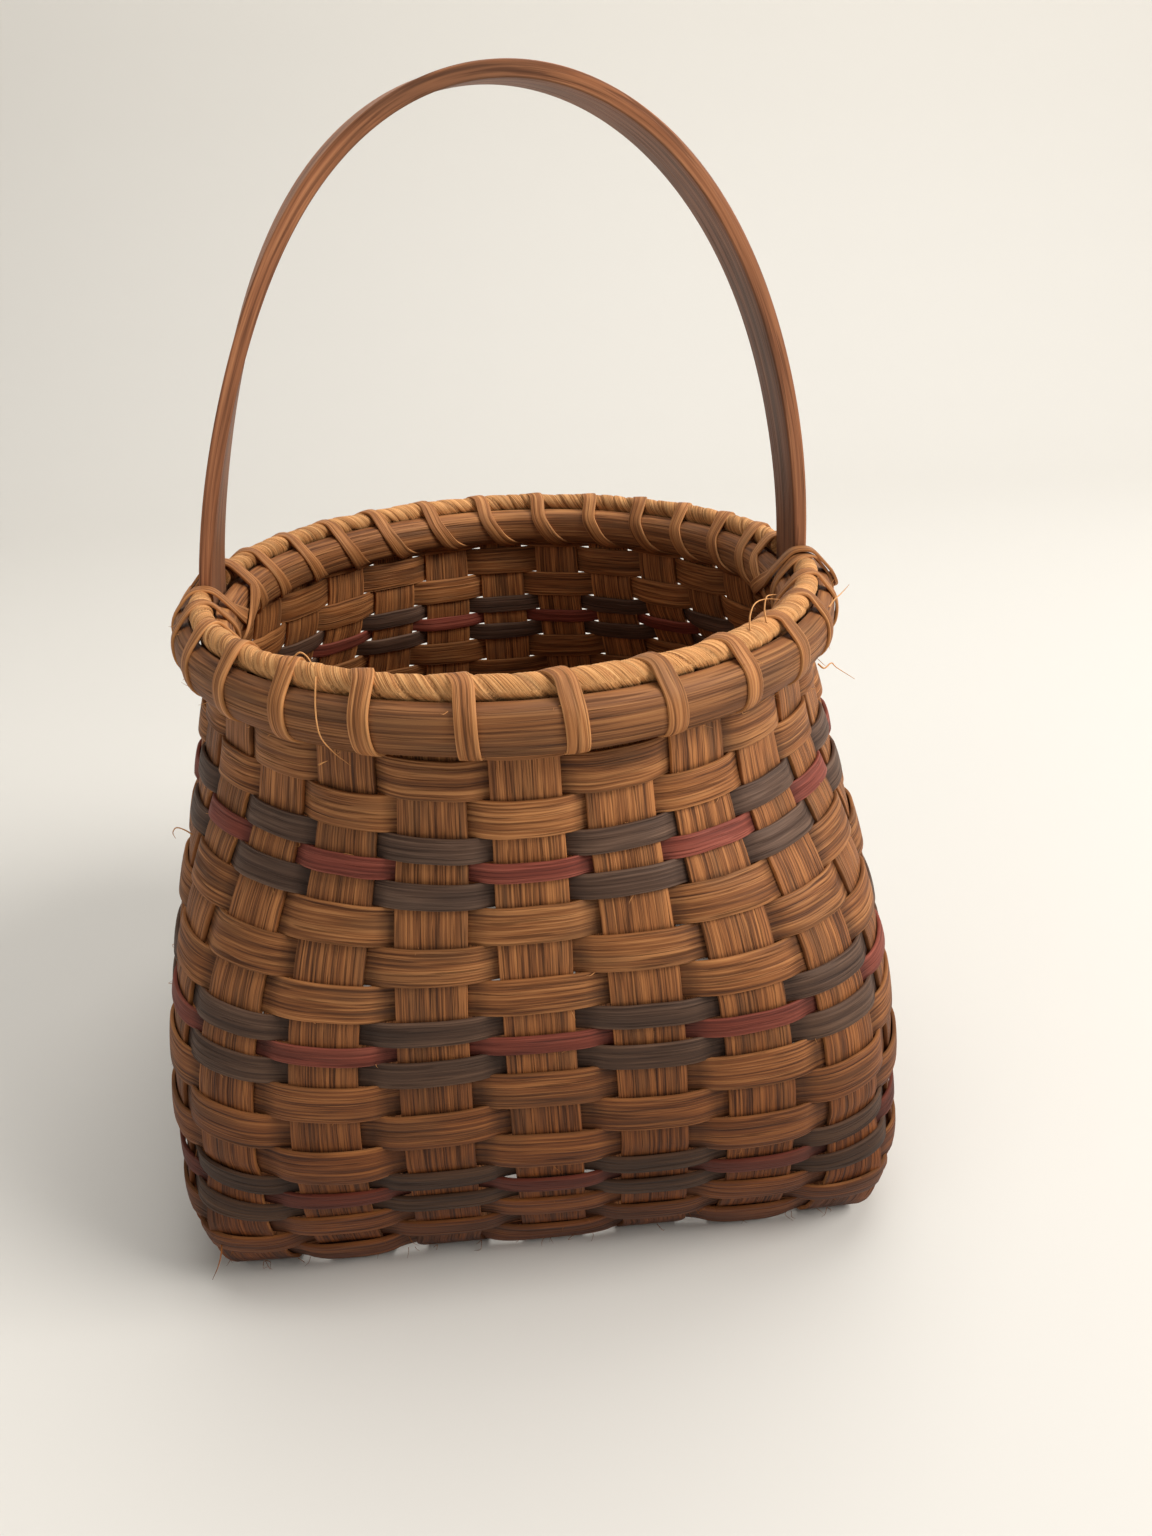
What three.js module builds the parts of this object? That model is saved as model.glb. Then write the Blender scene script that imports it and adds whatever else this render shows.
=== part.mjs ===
import * as THREE from 'three';

// Oak splint basket. Seven by seven oak strips cross in a nearly square base and turn up as
// twenty-eight stakes. Hoops of splint go over one stake and under the next, and each hoop
// goes the other way to the one below. Two half-round rims clamp the wall, a rope filler lies
// between them, a flat lashing winds round the lot, and a bent oak hoop handle stands between
// the rims with its tails in the weave.
// Millimetres, +Z up. The origin is under the middle of the base, on the surface it stands on.
// The handle crosses along X, and the front of the basket looks along -Y.

// the body: the wall's middle line swells out of the flat base to the foot, and then draws in
// from the foot to the belly, the neck and the mouth
const basketHeight = 154;
const footSpreadAcross = 10.5;
const footSpreadDeep = 18.3;
const footTurnHeight = 42.3;
const bellyDrawAcross = 3.6;
const bellyDrawDeep = 1.2;
const neckDrawAcross = 9.8;
const neckDrawDeep = 5.4;
const mouthDrawAcross = 14.95;
const mouthDrawDeep = 5.75;

// the strips of splint
const stakeWidth = 15.9;
const stakeTopWidth = 14.4;
const stakeThickness = 1.1;
const stakeTopDrop = 2.4;
const basePitch = 24;
const baseMargin = 3.5;
const broadWeaverWidth = 8;
const middleWeaverWidth = 5.25;
const narrowWeaverWidth = 4;
const weaverThickness = 0.9;
const rowGap = 0.42;
const footRowGap = 1.1;

// clearances between pieces that touch in the real basket
const fitGap = 0.3;
const waveClearance = 0.7;

// the rims and the rope filler between them
const rimHeight = 11.4;
const rimThickness = 4.4;
const rimShoulder = 1.8;
const rimBevel = 3;
const rimSpread = 1;
const rimSpreadReach = 40;
const outerRimSeat = 3.3;
const innerRimSeat = 2.6;
const fillerRadius = 2.8;
const fillerLift = 1.7;

// the flat lashing, and the slot it goes through under the rims
const lashWidth = 4.6;
const lashThickness = 0.7;
const lashSlot = 1.9;
const lashSlotDrop = 1;

// the hoop handle
const handleWidth = 19.5;
const handleThickness = 3.4;
const handleRise = 121.8;
const handleLean = 4.5;
const tailThickness = 2.6;
const tailTipThickness = 2.2;

// the body changes from an oval mouth to a square foot, at these shares of its height
const levelShares = [1, 0.915, 0.776, 0.523, 0.285, 0.2];
const squareStartShare = 0.84;
const squareEndShare = 0.28;
const mouthPower = 2;
const footPower = 4.95;
const floorPower = 26;

// how far the curve of the foot swells towards its corner, how much narrower the rows on it
// are, and how far round it the last row ends
const turnFullShare = 0.66;
const footRowShare = 0.76;
const lastRowShare = 0.92;

// where the lashing crosses the rims, as shares of the way from one slot to the next
const lashUpShare = 0.05;
const lashCrownShare = 0.12;
const lashOverShare = 0.3;
const lashDownShare = 0.38;
const lashBackShare = 0.8;
const lashPastLegShare = 0.3;

// the lashing draws in by a leg, sits on the crown of the rope, and crosses in a second layer
const lashDrawnShare = 0.75;
const lashSlipShare = 0.25;
const outerCrownShare = 0.8;
const innerCrownShare = 0.65;
const crownRoomShare = 0.8;
const crossSideShare = 1.3;
const crossFootShare = 1.2;
const crossCrownShare = 0.7;

// counts
const sidePairs = 3;
const stakesPerSide = 2 * sidePairs + 1;
const stakeCount = 4 * stakesPerSide;
const bandRows = 3;
const shoulderRow = 6;
const tailBands = 2;
const curveSteps = 720;
const rimSteps = 44;
const turnSteps = 2;
const fillerSteps = 18;
const fillerCorners = 6;
const archSteps = 22;

// splint kinds in order down the wall, repeated to the foot
const widths = { broad: broadWeaverWidth, middle: middleWeaverWidth, narrow: narrowWeaverWidth };
const rowPattern = ['broad', 'broad', 'broad', 'middle', 'narrow', 'middle'];

// heights and reaches that follow from the sizes above
const baseRise = stakeThickness + fitGap / 2;
const baseWave = (stakeThickness + fitGap) / 2;
const baseFlat = sidePairs * basePitch + stakeWidth / 2 + baseMargin;
const footHalfAcross = baseFlat + footSpreadAcross;
const footHalfDeep = baseFlat + footSpreadDeep;
const mouthHalfAcross = footHalfAcross - mouthDrawAcross;
const mouthHalfDeep = footHalfDeep - mouthDrawDeep;
const wallFall = basketHeight - baseRise - footTurnHeight;
const footSpread = (footSpreadAcross + footSpreadDeep) / 2;
const footCurve = new THREE.QuadraticBezierCurve(
  new THREE.Vector2(footSpread, footTurnHeight),
  new THREE.Vector2(footSpread, 0).lerp(new THREE.Vector2(0, footTurnHeight), 1 - turnFullShare),
  new THREE.Vector2(0, 0));
const turnLength = footCurve.getLength();
const lastRowFall = wallFall + lastRowShare * turnLength;
const rimFoot = basketHeight - rimHeight;
const lashFall = rimHeight + lashSlotDrop + lashSlot / 2;

const mix = (a, b, t) => a + (b - a) * t;
const clamp01 = (t) => Math.min(1, Math.max(0, t));
const ease = (t) => t * t * (3 - 2 * t);
const underHandle = (index) => index % (2 * stakesPerSide) === stakesPerSide;

// smooth curve through a short table, flat at both ends
function through(xs, ys, x) {
  let i = 0;
  while (i < xs.length - 2 && x < xs[i + 1]) {
    i += 1;
  }
  const slope = (k) => {
    if (k === 0 || k === xs.length - 1) {
      return 0;
    }
    return (ys[k + 1] - ys[k - 1]) / (xs[k + 1] - xs[k - 1]);
  };
  const span = xs[i + 1] - xs[i];
  const t = clamp01((x - xs[i]) / span);
  const t2 = t * t;
  const t3 = t2 * t;
  return (2 * t3 - 3 * t2 + 1) * ys[i] + (t3 - 2 * t2 + t) * span * slope(i)
    + (3 * t2 - 2 * t3) * ys[i + 1] + (t3 - t2) * span * slope(i + 1);
}

// half sizes and squareness of the wall, a given way down from the upper edge of the rims
function wallLevel(fall) {
  if (fall <= wallFall) {
    const share = (basketHeight - fall) / basketHeight;
    const drawAcross = [
      mouthDrawAcross, mouthDrawAcross, neckDrawAcross, bellyDrawAcross, 0, 0];
    const drawDeep = [mouthDrawDeep, mouthDrawDeep, neckDrawDeep, bellyDrawDeep, 0, 0];
    const squared = clamp01((squareStartShare - share) / (squareStartShare - squareEndShare));
    return {
      halfAcross: footHalfAcross - through(levelShares, drawAcross, share),
      halfDeep: footHalfDeep - through(levelShares, drawDeep, share),
      power: mix(mouthPower, footPower, ease(squared)),
      height: basketHeight - fall,
      turn: 0,
    };
  }
  const turn = clamp01((fall - wallFall) / turnLength);
  const place = footCurve.getPointAt(turn);
  return {
    halfAcross: baseFlat + (footSpreadAcross * place.x) / footSpread,
    halfDeep: baseFlat + (footSpreadDeep * place.x) / footSpread,
    power: mix(footPower, floorPower, turn * turn),
    height: baseRise + place.y,
    turn,
  };
}

// closed outline of the wall at a level, with the way run from the middle of the front
const outlines = new Map();
function outline(level) {
  const key = [level.halfAcross, level.halfDeep, level.power].join(' ');
  if (outlines.has(key)) {
    return outlines.get(key);
  }
  const points = [];
  for (let i = 0; i <= curveSteps; i += 1) {
    const angle = (2 * Math.PI * i) / curveSteps - Math.PI / 2;
    const c = Math.cos(angle);
    const s = Math.sin(angle);
    points.push(new THREE.Vector3(
      level.halfAcross * Math.sign(c) * Math.abs(c) ** (2 / level.power),
      level.halfDeep * Math.sign(s) * Math.abs(s) ** (2 / level.power), 0));
  }
  const run = [0];
  for (let i = 1; i < points.length; i += 1) {
    run.push(run[i - 1] + points[i].distanceTo(points[i - 1]));
  }
  const made = { points, run, length: run[run.length - 1] };
  outlines.set(key, made);
  return made;
}

function pointAlong(line, distance) {
  const wanted = ((distance % line.length) + line.length) % line.length;
  let low = 0;
  let high = line.run.length - 1;
  while (high - low > 1) {
    const middle = Math.floor((low + high) / 2);
    if (line.run[middle] <= wanted) {
      low = middle;
    } else {
      high = middle;
    }
  }
  const t = (wanted - line.run[low]) / (line.run[high] - line.run[low]);
  return line.points[low].clone().lerp(line.points[high], t);
}

// place on the wall, with the directions along the outline and straight out of it
function outlineFrame(level, distance) {
  const line = outline(level);
  const reach = (2 * line.length) / curveSteps;
  const at = pointAlong(line, distance).setZ(level.height);
  const along = pointAlong(line, distance + reach).sub(pointAlong(line, distance - reach));
  along.normalize();
  return { at, along, out: new THREE.Vector3(along.y, -along.x, 0) };
}

// stakes are numbered from the middle of the front, to the right
function stakeDistance(level, index) {
  return (outline(level).length * index) / stakeCount;
}

const stakeWidthAt = (fall) => mix(stakeTopWidth, stakeWidth, clamp01(fall / (wallFall / 2)));

// rows of weaving down the wall: the first is hidden under the rims, the last is on the curve
const rows = [];
let nextTop = lashFall - lashSlot / 2 - broadWeaverWidth;
let nextKind = rowPattern[0];
const rowWidth = () => widths[nextKind] * (nextTop > wallFall ? footRowShare : 1);
while (nextTop + rowWidth() <= lastRowFall) {
  const top = nextTop;
  const width = rowWidth();
  const end = top + width;
  const gapOnWall = rows.length === 0 ? lashSlot : rowGap;
  const gap = end > wallFall ? footRowGap : gapOnWall;
  rows.push({ kind: nextKind, width, middle: (top + end) / 2, top, end, gap });
  nextTop = end + gap;
  nextKind = rowPattern[rows.length % rowPattern.length];
}

// rows in bands lie against one flat facet of the stakes; on the curve each row has its own
const endsFacet = (row, number) => row.top > wallFall || number === shoulderRow
  || number % bandRows === bandRows - 1 || number === rows.length - 1;
const facetFalls = rows.filter(endsFacet).map((row) => row.end + row.gap / 2);
const wallFalls = [stakeTopDrop, lashFall, ...facetFalls];
const tailVertex = wallFalls.indexOf(facetFalls[tailBands - 1]);
const tailFall = wallFalls[tailVertex] - fitGap;

// middle line of one stake on the wall
function stakeSpine(index) {
  return wallFalls.map((fall) => {
    const level = wallLevel(fall);
    const frame = outlineFrame(level, stakeDistance(level, index));
    return { fall, at: frame.at, along: frame.along, width: stakeWidthAt(fall) };
  });
}

// place on a stake, with the directions of the facet it is on
function onSpine(spine, fall) {
  let i = 0;
  while (i < spine.length - 2 && fall > spine[i + 1].fall) {
    i += 1;
  }
  const t = (fall - spine[i].fall) / (spine[i + 1].fall - spine[i].fall);
  const along = spine[i].along.clone().lerp(spine[i + 1].along, t).normalize();
  const down = spine[i + 1].at.clone().sub(spine[i].at);
  const sideways = down.dot(along);
  down.addScaledVector(along, -sideways);
  const slant = Math.abs(sideways) / down.length();
  down.normalize();
  return {
    at: spine[i].at.clone().lerp(spine[i + 1].at, t),
    along,
    down,
    out: new THREE.Vector3().crossVectors(down, along).normalize(),
    slant,
    width: mix(spine[i].width, spine[i + 1].width, t),
  };
}

// closed skin over a row of equal sections, as a ring or with flat ends
function skin(sections, ring) {
  const corners = sections[0].length;
  const points = sections.flat();
  const faces = [];
  const spans = ring ? sections.length : sections.length - 1;
  for (let i = 0; i < spans; i += 1) {
    const next = (i + 1) % sections.length;
    for (let k = 0; k < corners; k += 1) {
      const m = (k + 1) % corners;
      const near = [i * corners + k, i * corners + m];
      const far = [next * corners + k, next * corners + m];
      faces.push([near[0], near[1], far[1]], [near[0], far[1], far[0]]);
    }
  }
  if (!ring) {
    const last = (sections.length - 1) * corners;
    for (let k = 1; k < corners - 1; k += 1) {
      faces.push([0, k + 1, k], [last, last + k, last + k + 1]);
    }
  }
  const volume = faces.reduce((sum, [a, b, c]) => (
    sum + points[a].dot(points[b].clone().cross(points[c]))), 0);
  const geometry = new THREE.BufferGeometry().setFromPoints(points);
  geometry.setIndex(faces.flatMap(([a, b, c]) => (volume > 0 ? [a, b, c] : [a, c, b])));
  geometry.computeVertexNormals();
  return geometry;
}

// four corners of a flat strip
function stripSection(at, along, out, width, thickness) {
  const corner = (u, v) => at.clone()
    .addScaledVector(along, (u * width) / 2)
    .addScaledVector(out, (v * thickness) / 2);
  return [corner(-1, -1), corner(1, -1), corner(1, 1), corner(-1, 1)];
}

// stations of one stake on the wall, from its top or the handle's tail down to the last row
function wallStations(index) {
  const spine = stakeSpine(index);
  const last = spine.length - 1;
  const list = [];
  for (let i = underHandle(index) ? tailVertex : 0; i <= last; i += 1) {
    const above = mix(spine[Math.max(i - 1, 0)].fall, spine[i].fall, 0.5);
    const below = mix(spine[i].fall, spine[Math.min(i + 1, last)].fall, 0.5);
    const out = onSpine(spine, above).out.add(onSpine(spine, below).out).normalize();
    list.push({ at: spine[i].at, along: spine[i].along, out, width: spine[i].width });
  }
  return list;
}

// stations round the curve under the last row, down to the flat of the base
function turnStations(last, alongAxis, outAxis, offset) {
  const side = last.at.dot(alongAxis);
  const start = wallLevel(wallFalls[wallFalls.length - 1]);
  const outward = (last.at.dot(outAxis) - baseFlat) / footCurve.getPointAt(start.turn).x;
  const list = [];
  for (let i = 1; i <= turnSteps; i += 1) {
    const share = i / turnSteps;
    const turn = mix(start.turn, 1, share);
    const place = footCurve.getPointAt(turn);
    const at = alongAxis.clone().multiplyScalar(mix(side, offset, share * share))
      .addScaledVector(outAxis, baseFlat + outward * place.x);
    at.z = baseRise + place.y;
    const along = last.along.clone().lerp(alongAxis, share * share).normalize();
    const slope = footCurve.getTangentAt(turn);
    const down = outAxis.clone().multiplyScalar(slope.x).setZ(slope.y);
    if (i === turnSteps) {
      down.sub(outAxis);
    }
    const out = new THREE.Vector3().crossVectors(down, along).normalize();
    list.push({ at, along, out, width: stakeWidth });
  }
  return list;
}

// stations across the base, over and under the seven strips that cross
function baseStations(place, frontBack, alongAxis, outAxis) {
  const reach = stakeWidth / 2 + fitGap;
  const list = [];
  for (let cross = -sidePairs; cross <= sidePairs; cross += 1) {
    const crossing = frontBack ? cross : -cross;
    const over = (Math.abs(place + crossing) % 2 === 0) === frontBack;
    [-reach, reach].forEach((step) => {
      const at = alongAxis.clone().multiplyScalar(place * basePitch)
        .addScaledVector(outAxis, -(cross * basePitch + step));
      at.z = baseRise + (over ? baseWave : -baseWave);
      list.push({ at, along: alongAxis, out: new THREE.Vector3(0, 0, -1), width: stakeWidth });
    });
  }
  return list;
}

// one strip: down one wall, across the base and up the opposite wall as two stakes
function stakeStrip(place, frontBack) {
  const alongAxis = frontBack ? new THREE.Vector3(1, 0, 0) : new THREE.Vector3(0, 1, 0);
  const outAxis = frontBack ? new THREE.Vector3(0, -1, 0) : new THREE.Vector3(1, 0, 0);
  const offset = place * basePitch;
  const nearIndex = frontBack ? place : stakesPerSide + place;
  const farIndex = nearIndex + 2 * (stakesPerSide - place);
  const near = wallStations(nearIndex);
  const nearTurn = turnStations(near[near.length - 1], alongAxis, outAxis, offset);
  const far = wallStations(farIndex);
  const farTurn = turnStations(far[far.length - 1], alongAxis.clone().negate(),
    outAxis.clone().negate(), -offset);
  const upTheFarWall = [...far, ...farTurn].reverse()
    .map((item) => ({ ...item, along: item.along.clone().negate() }));
  const list = [
    ...near, ...nearTurn, ...baseStations(place, frontBack, alongAxis, outAxis), ...upTheFarWall];
  return skin(list.map((s) => stripSection(s.at, s.along, s.out, s.width, stakeThickness)), false);
}

// what a row bends round: a stake, or the handle's tail that stands in its place
function core(index, fall, stakeSize) {
  if (!underHandle(index) || fall > tailFall) {
    return { width: stakeSize, thickness: stakeThickness };
  }
  if (fall < rimHeight) {
    const share = fall / rimHeight;
    return {
      width: mix(handleWidth, stakeTopWidth, share),
      thickness: mix(handleThickness, tailThickness, share),
    };
  }
  const share = (fall - rimHeight) / (tailFall - rimHeight);
  return { width: stakeTopWidth, thickness: mix(tailThickness, tailTipThickness, share) };
}

const spines = [];
for (let index = 0; index < stakeCount; index += 1) {
  spines.push(stakeSpine(index));
}

// one hoop of splint, outside every second stake and inside the others
function weaver(row, number) {
  const sections = [];
  spines.forEach((spine, index) => {
    const place = onSpine(spine, row.middle);
    const side = (index + number) % 2 === 0 ? 1 : -1;
    const under = core(index, row.middle, place.width);
    const offset = side * (under.thickness / 2 + waveClearance + weaverThickness / 2);
    const reach = under.width / 2 + fitGap + (place.slant * row.width) / 2;
    [-reach, reach].forEach((step) => {
      const at = place.at.clone()
        .addScaledVector(place.along, step)
        .addScaledVector(place.out, offset);
      sections.push(stripSection(at, place.down, place.out, row.width, weaverThickness));
    });
  });
  return skin(sections, true);
}

// the oval line of the mouth, with the handle's legs a quarter of the way round on each side
const mouth = wallLevel(0);
const mouthLength = outline(mouth).length;
const pitch = mouthLength / stakeCount;
const rightLeg = mouthLength / 4;
const leftLeg = 3 * rightLeg;

// the rims spring apart where they grip the handle
function spread(distance) {
  const wrapped = ((distance % mouthLength) + mouthLength) % mouthLength;
  const away = Math.min(Math.abs(wrapped - rightLeg), Math.abs(wrapped - leftLeg));
  if (away > rimSpreadReach) {
    return 0;
  }
  return (rimSpread * (1 + Math.cos((Math.PI * away) / rimSpreadReach))) / 2;
}

function mouthPlace(distance, offset, height) {
  const place = outlineFrame(mouth, distance);
  place.at.addScaledVector(place.out, offset + Math.sign(offset) * spread(distance));
  place.at.setZ(height);
  return place;
}

// half-round rim with its flat side to the wall
function rim(seat, side) {
  const profile = [
    [seat, rimFoot],
    [seat + rimShoulder, rimFoot],
    [seat + rimThickness, rimFoot + rimBevel],
    [seat + rimThickness, basketHeight - rimBevel],
    [seat + rimShoulder, basketHeight],
    [seat, basketHeight]];
  const sections = [];
  for (let i = 0; i < rimSteps; i += 1) {
    const distance = (mouthLength * i) / rimSteps;
    sections.push(profile.map(([offset, height]) => mouthPlace(distance, side * offset, height).at));
  }
  return skin(sections, true);
}

// rope filler on the stake ends, between the rims, from one leg of the handle to the other
function filler(start) {
  const clear = handleWidth / 2 + 2 * fitGap;
  const middle = (outerRimSeat - innerRimSeat) / 2;
  const sections = [];
  for (let i = 0; i <= fillerSteps; i += 1) {
    const distance = mix(start + clear, start + mouthLength / 2 - clear, i / fillerSteps);
    const frame = outlineFrame(mouth, distance);
    const section = [];
    for (let k = 0; k < fillerCorners; k += 1) {
      const angle = (2 * Math.PI * k) / fillerCorners;
      const point = frame.at.clone()
        .addScaledVector(frame.out, middle + fillerRadius * Math.cos(angle));
      point.z = basketHeight + fillerLift + fillerRadius * Math.sin(angle);
      section.push(point);
    }
    sections.push(section);
  }
  return skin(sections, false);
}

// how far out and how high the lashing lies on the rims, the rope and in the slots
const mouthRadius = Math.min(
  mouthHalfAcross ** 2 / mouthHalfDeep, mouthHalfDeep ** 2 / mouthHalfAcross);
const facetRoom = (mouthLength / rimSteps) ** 2 / (8 * mouthRadius);
const lashSeat = rimThickness + fitGap + lashThickness / 2;
const outerFace = outerRimSeat + lashSeat;
const innerFace = innerRimSeat + lashSeat + 2 * facetRoom;
const outerSlot = outerRimSeat + 2 * fitGap;
const innerSlot = innerRimSeat + 2 * fitGap;
const outerCrown = fillerRadius * outerCrownShare;
const innerCrown = fillerRadius * innerCrownShare;
const slotHeight = basketHeight - lashFall;
const sideLow = rimFoot + rimBevel - 2 * fitGap - lashThickness;
const sideHigh = basketHeight - rimBevel + 2 * fitGap;
const crownHeight = basketHeight + fillerLift + fillerRadius * Math.cos(Math.PI / fillerCorners)
  + fitGap + crownRoomShare * lashThickness;

// beside a leg two strands share one slot, and both keep clear of the stake and the leg
const legClear = handleWidth / 2 + lashWidth / 2 + 2 * fitGap;
const stakeClear = stakeTopWidth / 2 + fitGap;
const strandWidth = (pitch - stakeTopWidth) / 2 - 2 * fitGap;
const slotWidth = Math.min(lashWidth, pitch - stakeTopWidth - 2 * fitGap);
const nearSlot = stakeClear + strandWidth / 2 + fitGap / 3;
const farSlot = nearSlot + strandWidth + fitGap;
const crossLayer = lashThickness + 3 * fitGap;

const station = (distance, out, height, width) => ({ distance, out, height, width });

// flat strip through a closed row of stations, lying flat on what it passes over; the lashing
// is wound clockwise seen from above, against the count of the stakes
function strap(stations) {
  const count = stations.length;
  const places = stations.map((s) => mouthPlace(-s.distance, s.out, s.height));
  const sections = stations.map((s, i) => {
    const before = places[(i + count - 1) % count].at;
    const after = places[(i + 1) % count].at;
    const run = after.clone().sub(before).normalize();
    const along = places[i].along.clone().negate();
    along.addScaledVector(run, -along.dot(run)).normalize();
    const face = new THREE.Vector3().crossVectors(along, run).normalize();
    return stripSection(places[i].at, along, face, s.width, lashThickness);
  });
  return skin(sections, true);
}

// out of a slot, up the outer rim, over the rope and down the inner rim towards the next slot
function lashTurn(slot, slotSize, low, lowSize, high, crown, over, down, back) {
  return [
    station(slot, -innerSlot, slotHeight, slotSize),
    station(slot, outerSlot, slotHeight, slotSize),
    station(low, outerFace, sideLow, lowSize),
    station(high, outerFace, sideHigh, lashWidth),
    station(crown, outerCrown, crownHeight, lashWidth),
    station(over, -innerCrown, crownHeight, lashWidth),
    station(down, -innerFace, sideHigh, lashWidth),
    station(back, -innerFace, sideLow, lashWidth)];
}

// winding lashing: one turn to every gap between stakes, and a long slant past each leg
function lashing() {
  const stations = [];
  for (let turn = 0; turn < stakeCount; turn += 1) {
    const slot = (turn + 0.5) * pitch;
    if (underHandle(turn + 1)) {
      const leg = (turn + 1) * pitch;
      const far = leg - farSlot;
      const clear = leg - legClear;
      stations.push(...lashTurn(far, strandWidth, far - lashSlipShare * strandWidth,
        lashDrawnShare * lashWidth, clear, clear, clear, clear, leg + lashPastLegShare * pitch));
    } else {
      const runs = [lashUpShare, lashCrownShare, lashOverShare, lashDownShare, lashBackShare]
        .map((share) => slot + share * pitch);
      stations.push(...lashTurn(slot, slotWidth, slot, slotWidth, ...runs));
    }
  }
  return strap(stations);
}

// second strand at a leg, slanting the other way on top of the lashing, so the two cross
function crossTie(leg) {
  const slot = leg - nearSlot;
  const low = leg - stakeClear;
  const high = leg + legClear;
  const drawn = lashDrawnShare * lashWidth;
  const sideLift = crossSideShare * crossLayer;
  const crownLift = crossCrownShare * crossLayer;
  return strap([
    station(slot, outerSlot, slotHeight, strandWidth),
    station(low, outerFace + crossLayer, sideLow, drawn),
    station(high, outerFace + sideLift, sideHigh, lashWidth),
    station(high, outerCrown + crownLift, crownHeight + crossLayer, lashWidth),
    station(high, -innerCrown - crownLift, crownHeight + crossLayer, lashWidth),
    station(high, -innerFace - sideLift, sideHigh, lashWidth),
    station(low, -innerFace - crossFootShare * crossLayer, sideLow, drawn),
    station(slot, -innerSlot, slotHeight, strandWidth)]);
}

// stations of a handle's tail, from its tip in the weave up to the foot of the rims
function tailStations(index) {
  const spine = spines[index];
  const place = (fall, thickness) => (
    { ...onSpine(spine, fall), width: stakeTopWidth, thickness });
  return [
    place(tailFall, tailTipThickness),
    place(facetFalls[0], mix(tailThickness, tailTipThickness, 0.5)),
    place(rimHeight, tailThickness)];
}

// stations of the hoop above the rims, half an ellipse from right to left
function archStations() {
  const rise = handleRise - handleThickness / 2;
  const list = [];
  for (let i = 0; i <= archSteps; i += 1) {
    const angle = (Math.PI * i) / archSteps;
    const c = Math.cos(angle);
    const s = Math.sin(angle);
    list.push({
      at: new THREE.Vector3(mouthHalfAcross * c + handleLean * s, 0, basketHeight + rise * s),
      along: new THREE.Vector3(0, 1, 0),
      out: new THREE.Vector3(rise * c, 0, mouthHalfAcross * s).normalize(),
      width: handleWidth,
      thickness: handleThickness,
    });
  }
  return list;
}

// hoop handle, one bent bar from tail to tail
function handle() {
  const left = tailStations(3 * stakesPerSide).reverse()
    .map((item) => ({ ...item, along: item.along.clone().negate() }));
  const list = [...tailStations(stakesPerSide), ...archStations(), ...left];
  return skin(list.map((s) => stripSection(s.at, s.along, s.out, s.width, s.thickness)), false);
}

// one finish for each kind of wood
const finish = (color, roughness) => new THREE.MeshStandardMaterial({
  color, roughness, metalness: 0 });
const tanSplint = () => finish(0xb08a5e, 0.72);
const greySplint = () => finish(0x7d7068, 0.74);
const redSplint = () => finish(0x92564a, 0.74);
const rimWood = () => finish(0xa9825a, 0.66);
const ropeFibre = () => finish(0xb68f60, 0.8);
const lashSplint = () => finish(0xb98f60, 0.7);
const handleWood = () => finish(0x8f5f43, 0.55);
const splints = { broad: tanSplint, middle: greySplint, narrow: redSplint };

const basket = new THREE.Group();
basket.name = 'splint_basket';

function add(name, geometry, material) {
  const mesh = new THREE.Mesh(geometry, material);
  mesh.name = name;
  basket.add(mesh);
}

for (let place = -sidePairs; place <= sidePairs; place += 1) {
  const number = place + sidePairs + 1;
  add(`stake_front_back_${number}`, stakeStrip(place, true), tanSplint());
  add(`stake_left_right_${number}`, stakeStrip(place, false), tanSplint());
}
rows.forEach((row, number) => {
  const fromTop = String(number + 1).padStart(2, '0');
  add(`weaver_${fromTop}`, weaver(row, number), splints[row.kind]());
});
add('rim_outer', rim(outerRimSeat, 1), rimWood());
add('rim_inner', rim(innerRimSeat, -1), rimWood());
add('rim_filler_back', filler(rightLeg), ropeFibre());
add('rim_filler_front', filler(leftLeg), ropeFibre());
add('rim_lashing', lashing(), lashSplint());
add('handle_cross_tie_right', crossTie(leftLeg), lashSplint());
add('handle_cross_tie_left', crossTie(rightLeg), lashSplint());
add('handle_hoop', handle(), handleWood());

export default basket;
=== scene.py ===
# %% [markdown]
# Oak splint basket, made the way the real one is: seven flat oak strips cross seven others in the
# base and turn up as twenty-eight stakes, hoops of thinner splint go over one stake and under the
# next, two half-round rims clamp the top with a rope filler between them, a flat lashing winds
# round the rims, and a bent hoop handle has its tails in the weave.
# The solids give the true sizes. Every piece is built again here with its curves, its bends over
# its neighbours, its rounded edges and its grain.
# %% Load the solids
import math

import bpy
import numpy as np
from mathutils import Euler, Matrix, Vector


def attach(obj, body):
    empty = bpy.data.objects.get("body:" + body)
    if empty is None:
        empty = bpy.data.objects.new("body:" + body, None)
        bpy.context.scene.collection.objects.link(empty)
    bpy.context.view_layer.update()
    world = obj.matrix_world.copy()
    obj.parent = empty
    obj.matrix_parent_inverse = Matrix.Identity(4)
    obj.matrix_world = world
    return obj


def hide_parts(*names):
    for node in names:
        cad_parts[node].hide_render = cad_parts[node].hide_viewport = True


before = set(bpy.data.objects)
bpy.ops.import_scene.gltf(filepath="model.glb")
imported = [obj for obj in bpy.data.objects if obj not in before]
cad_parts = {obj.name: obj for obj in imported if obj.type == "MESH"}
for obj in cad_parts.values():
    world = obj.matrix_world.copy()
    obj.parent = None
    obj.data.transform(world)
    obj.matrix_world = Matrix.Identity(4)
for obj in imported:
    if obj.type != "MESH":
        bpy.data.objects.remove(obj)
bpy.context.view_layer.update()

print("solids loaded:", len(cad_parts))

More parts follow.
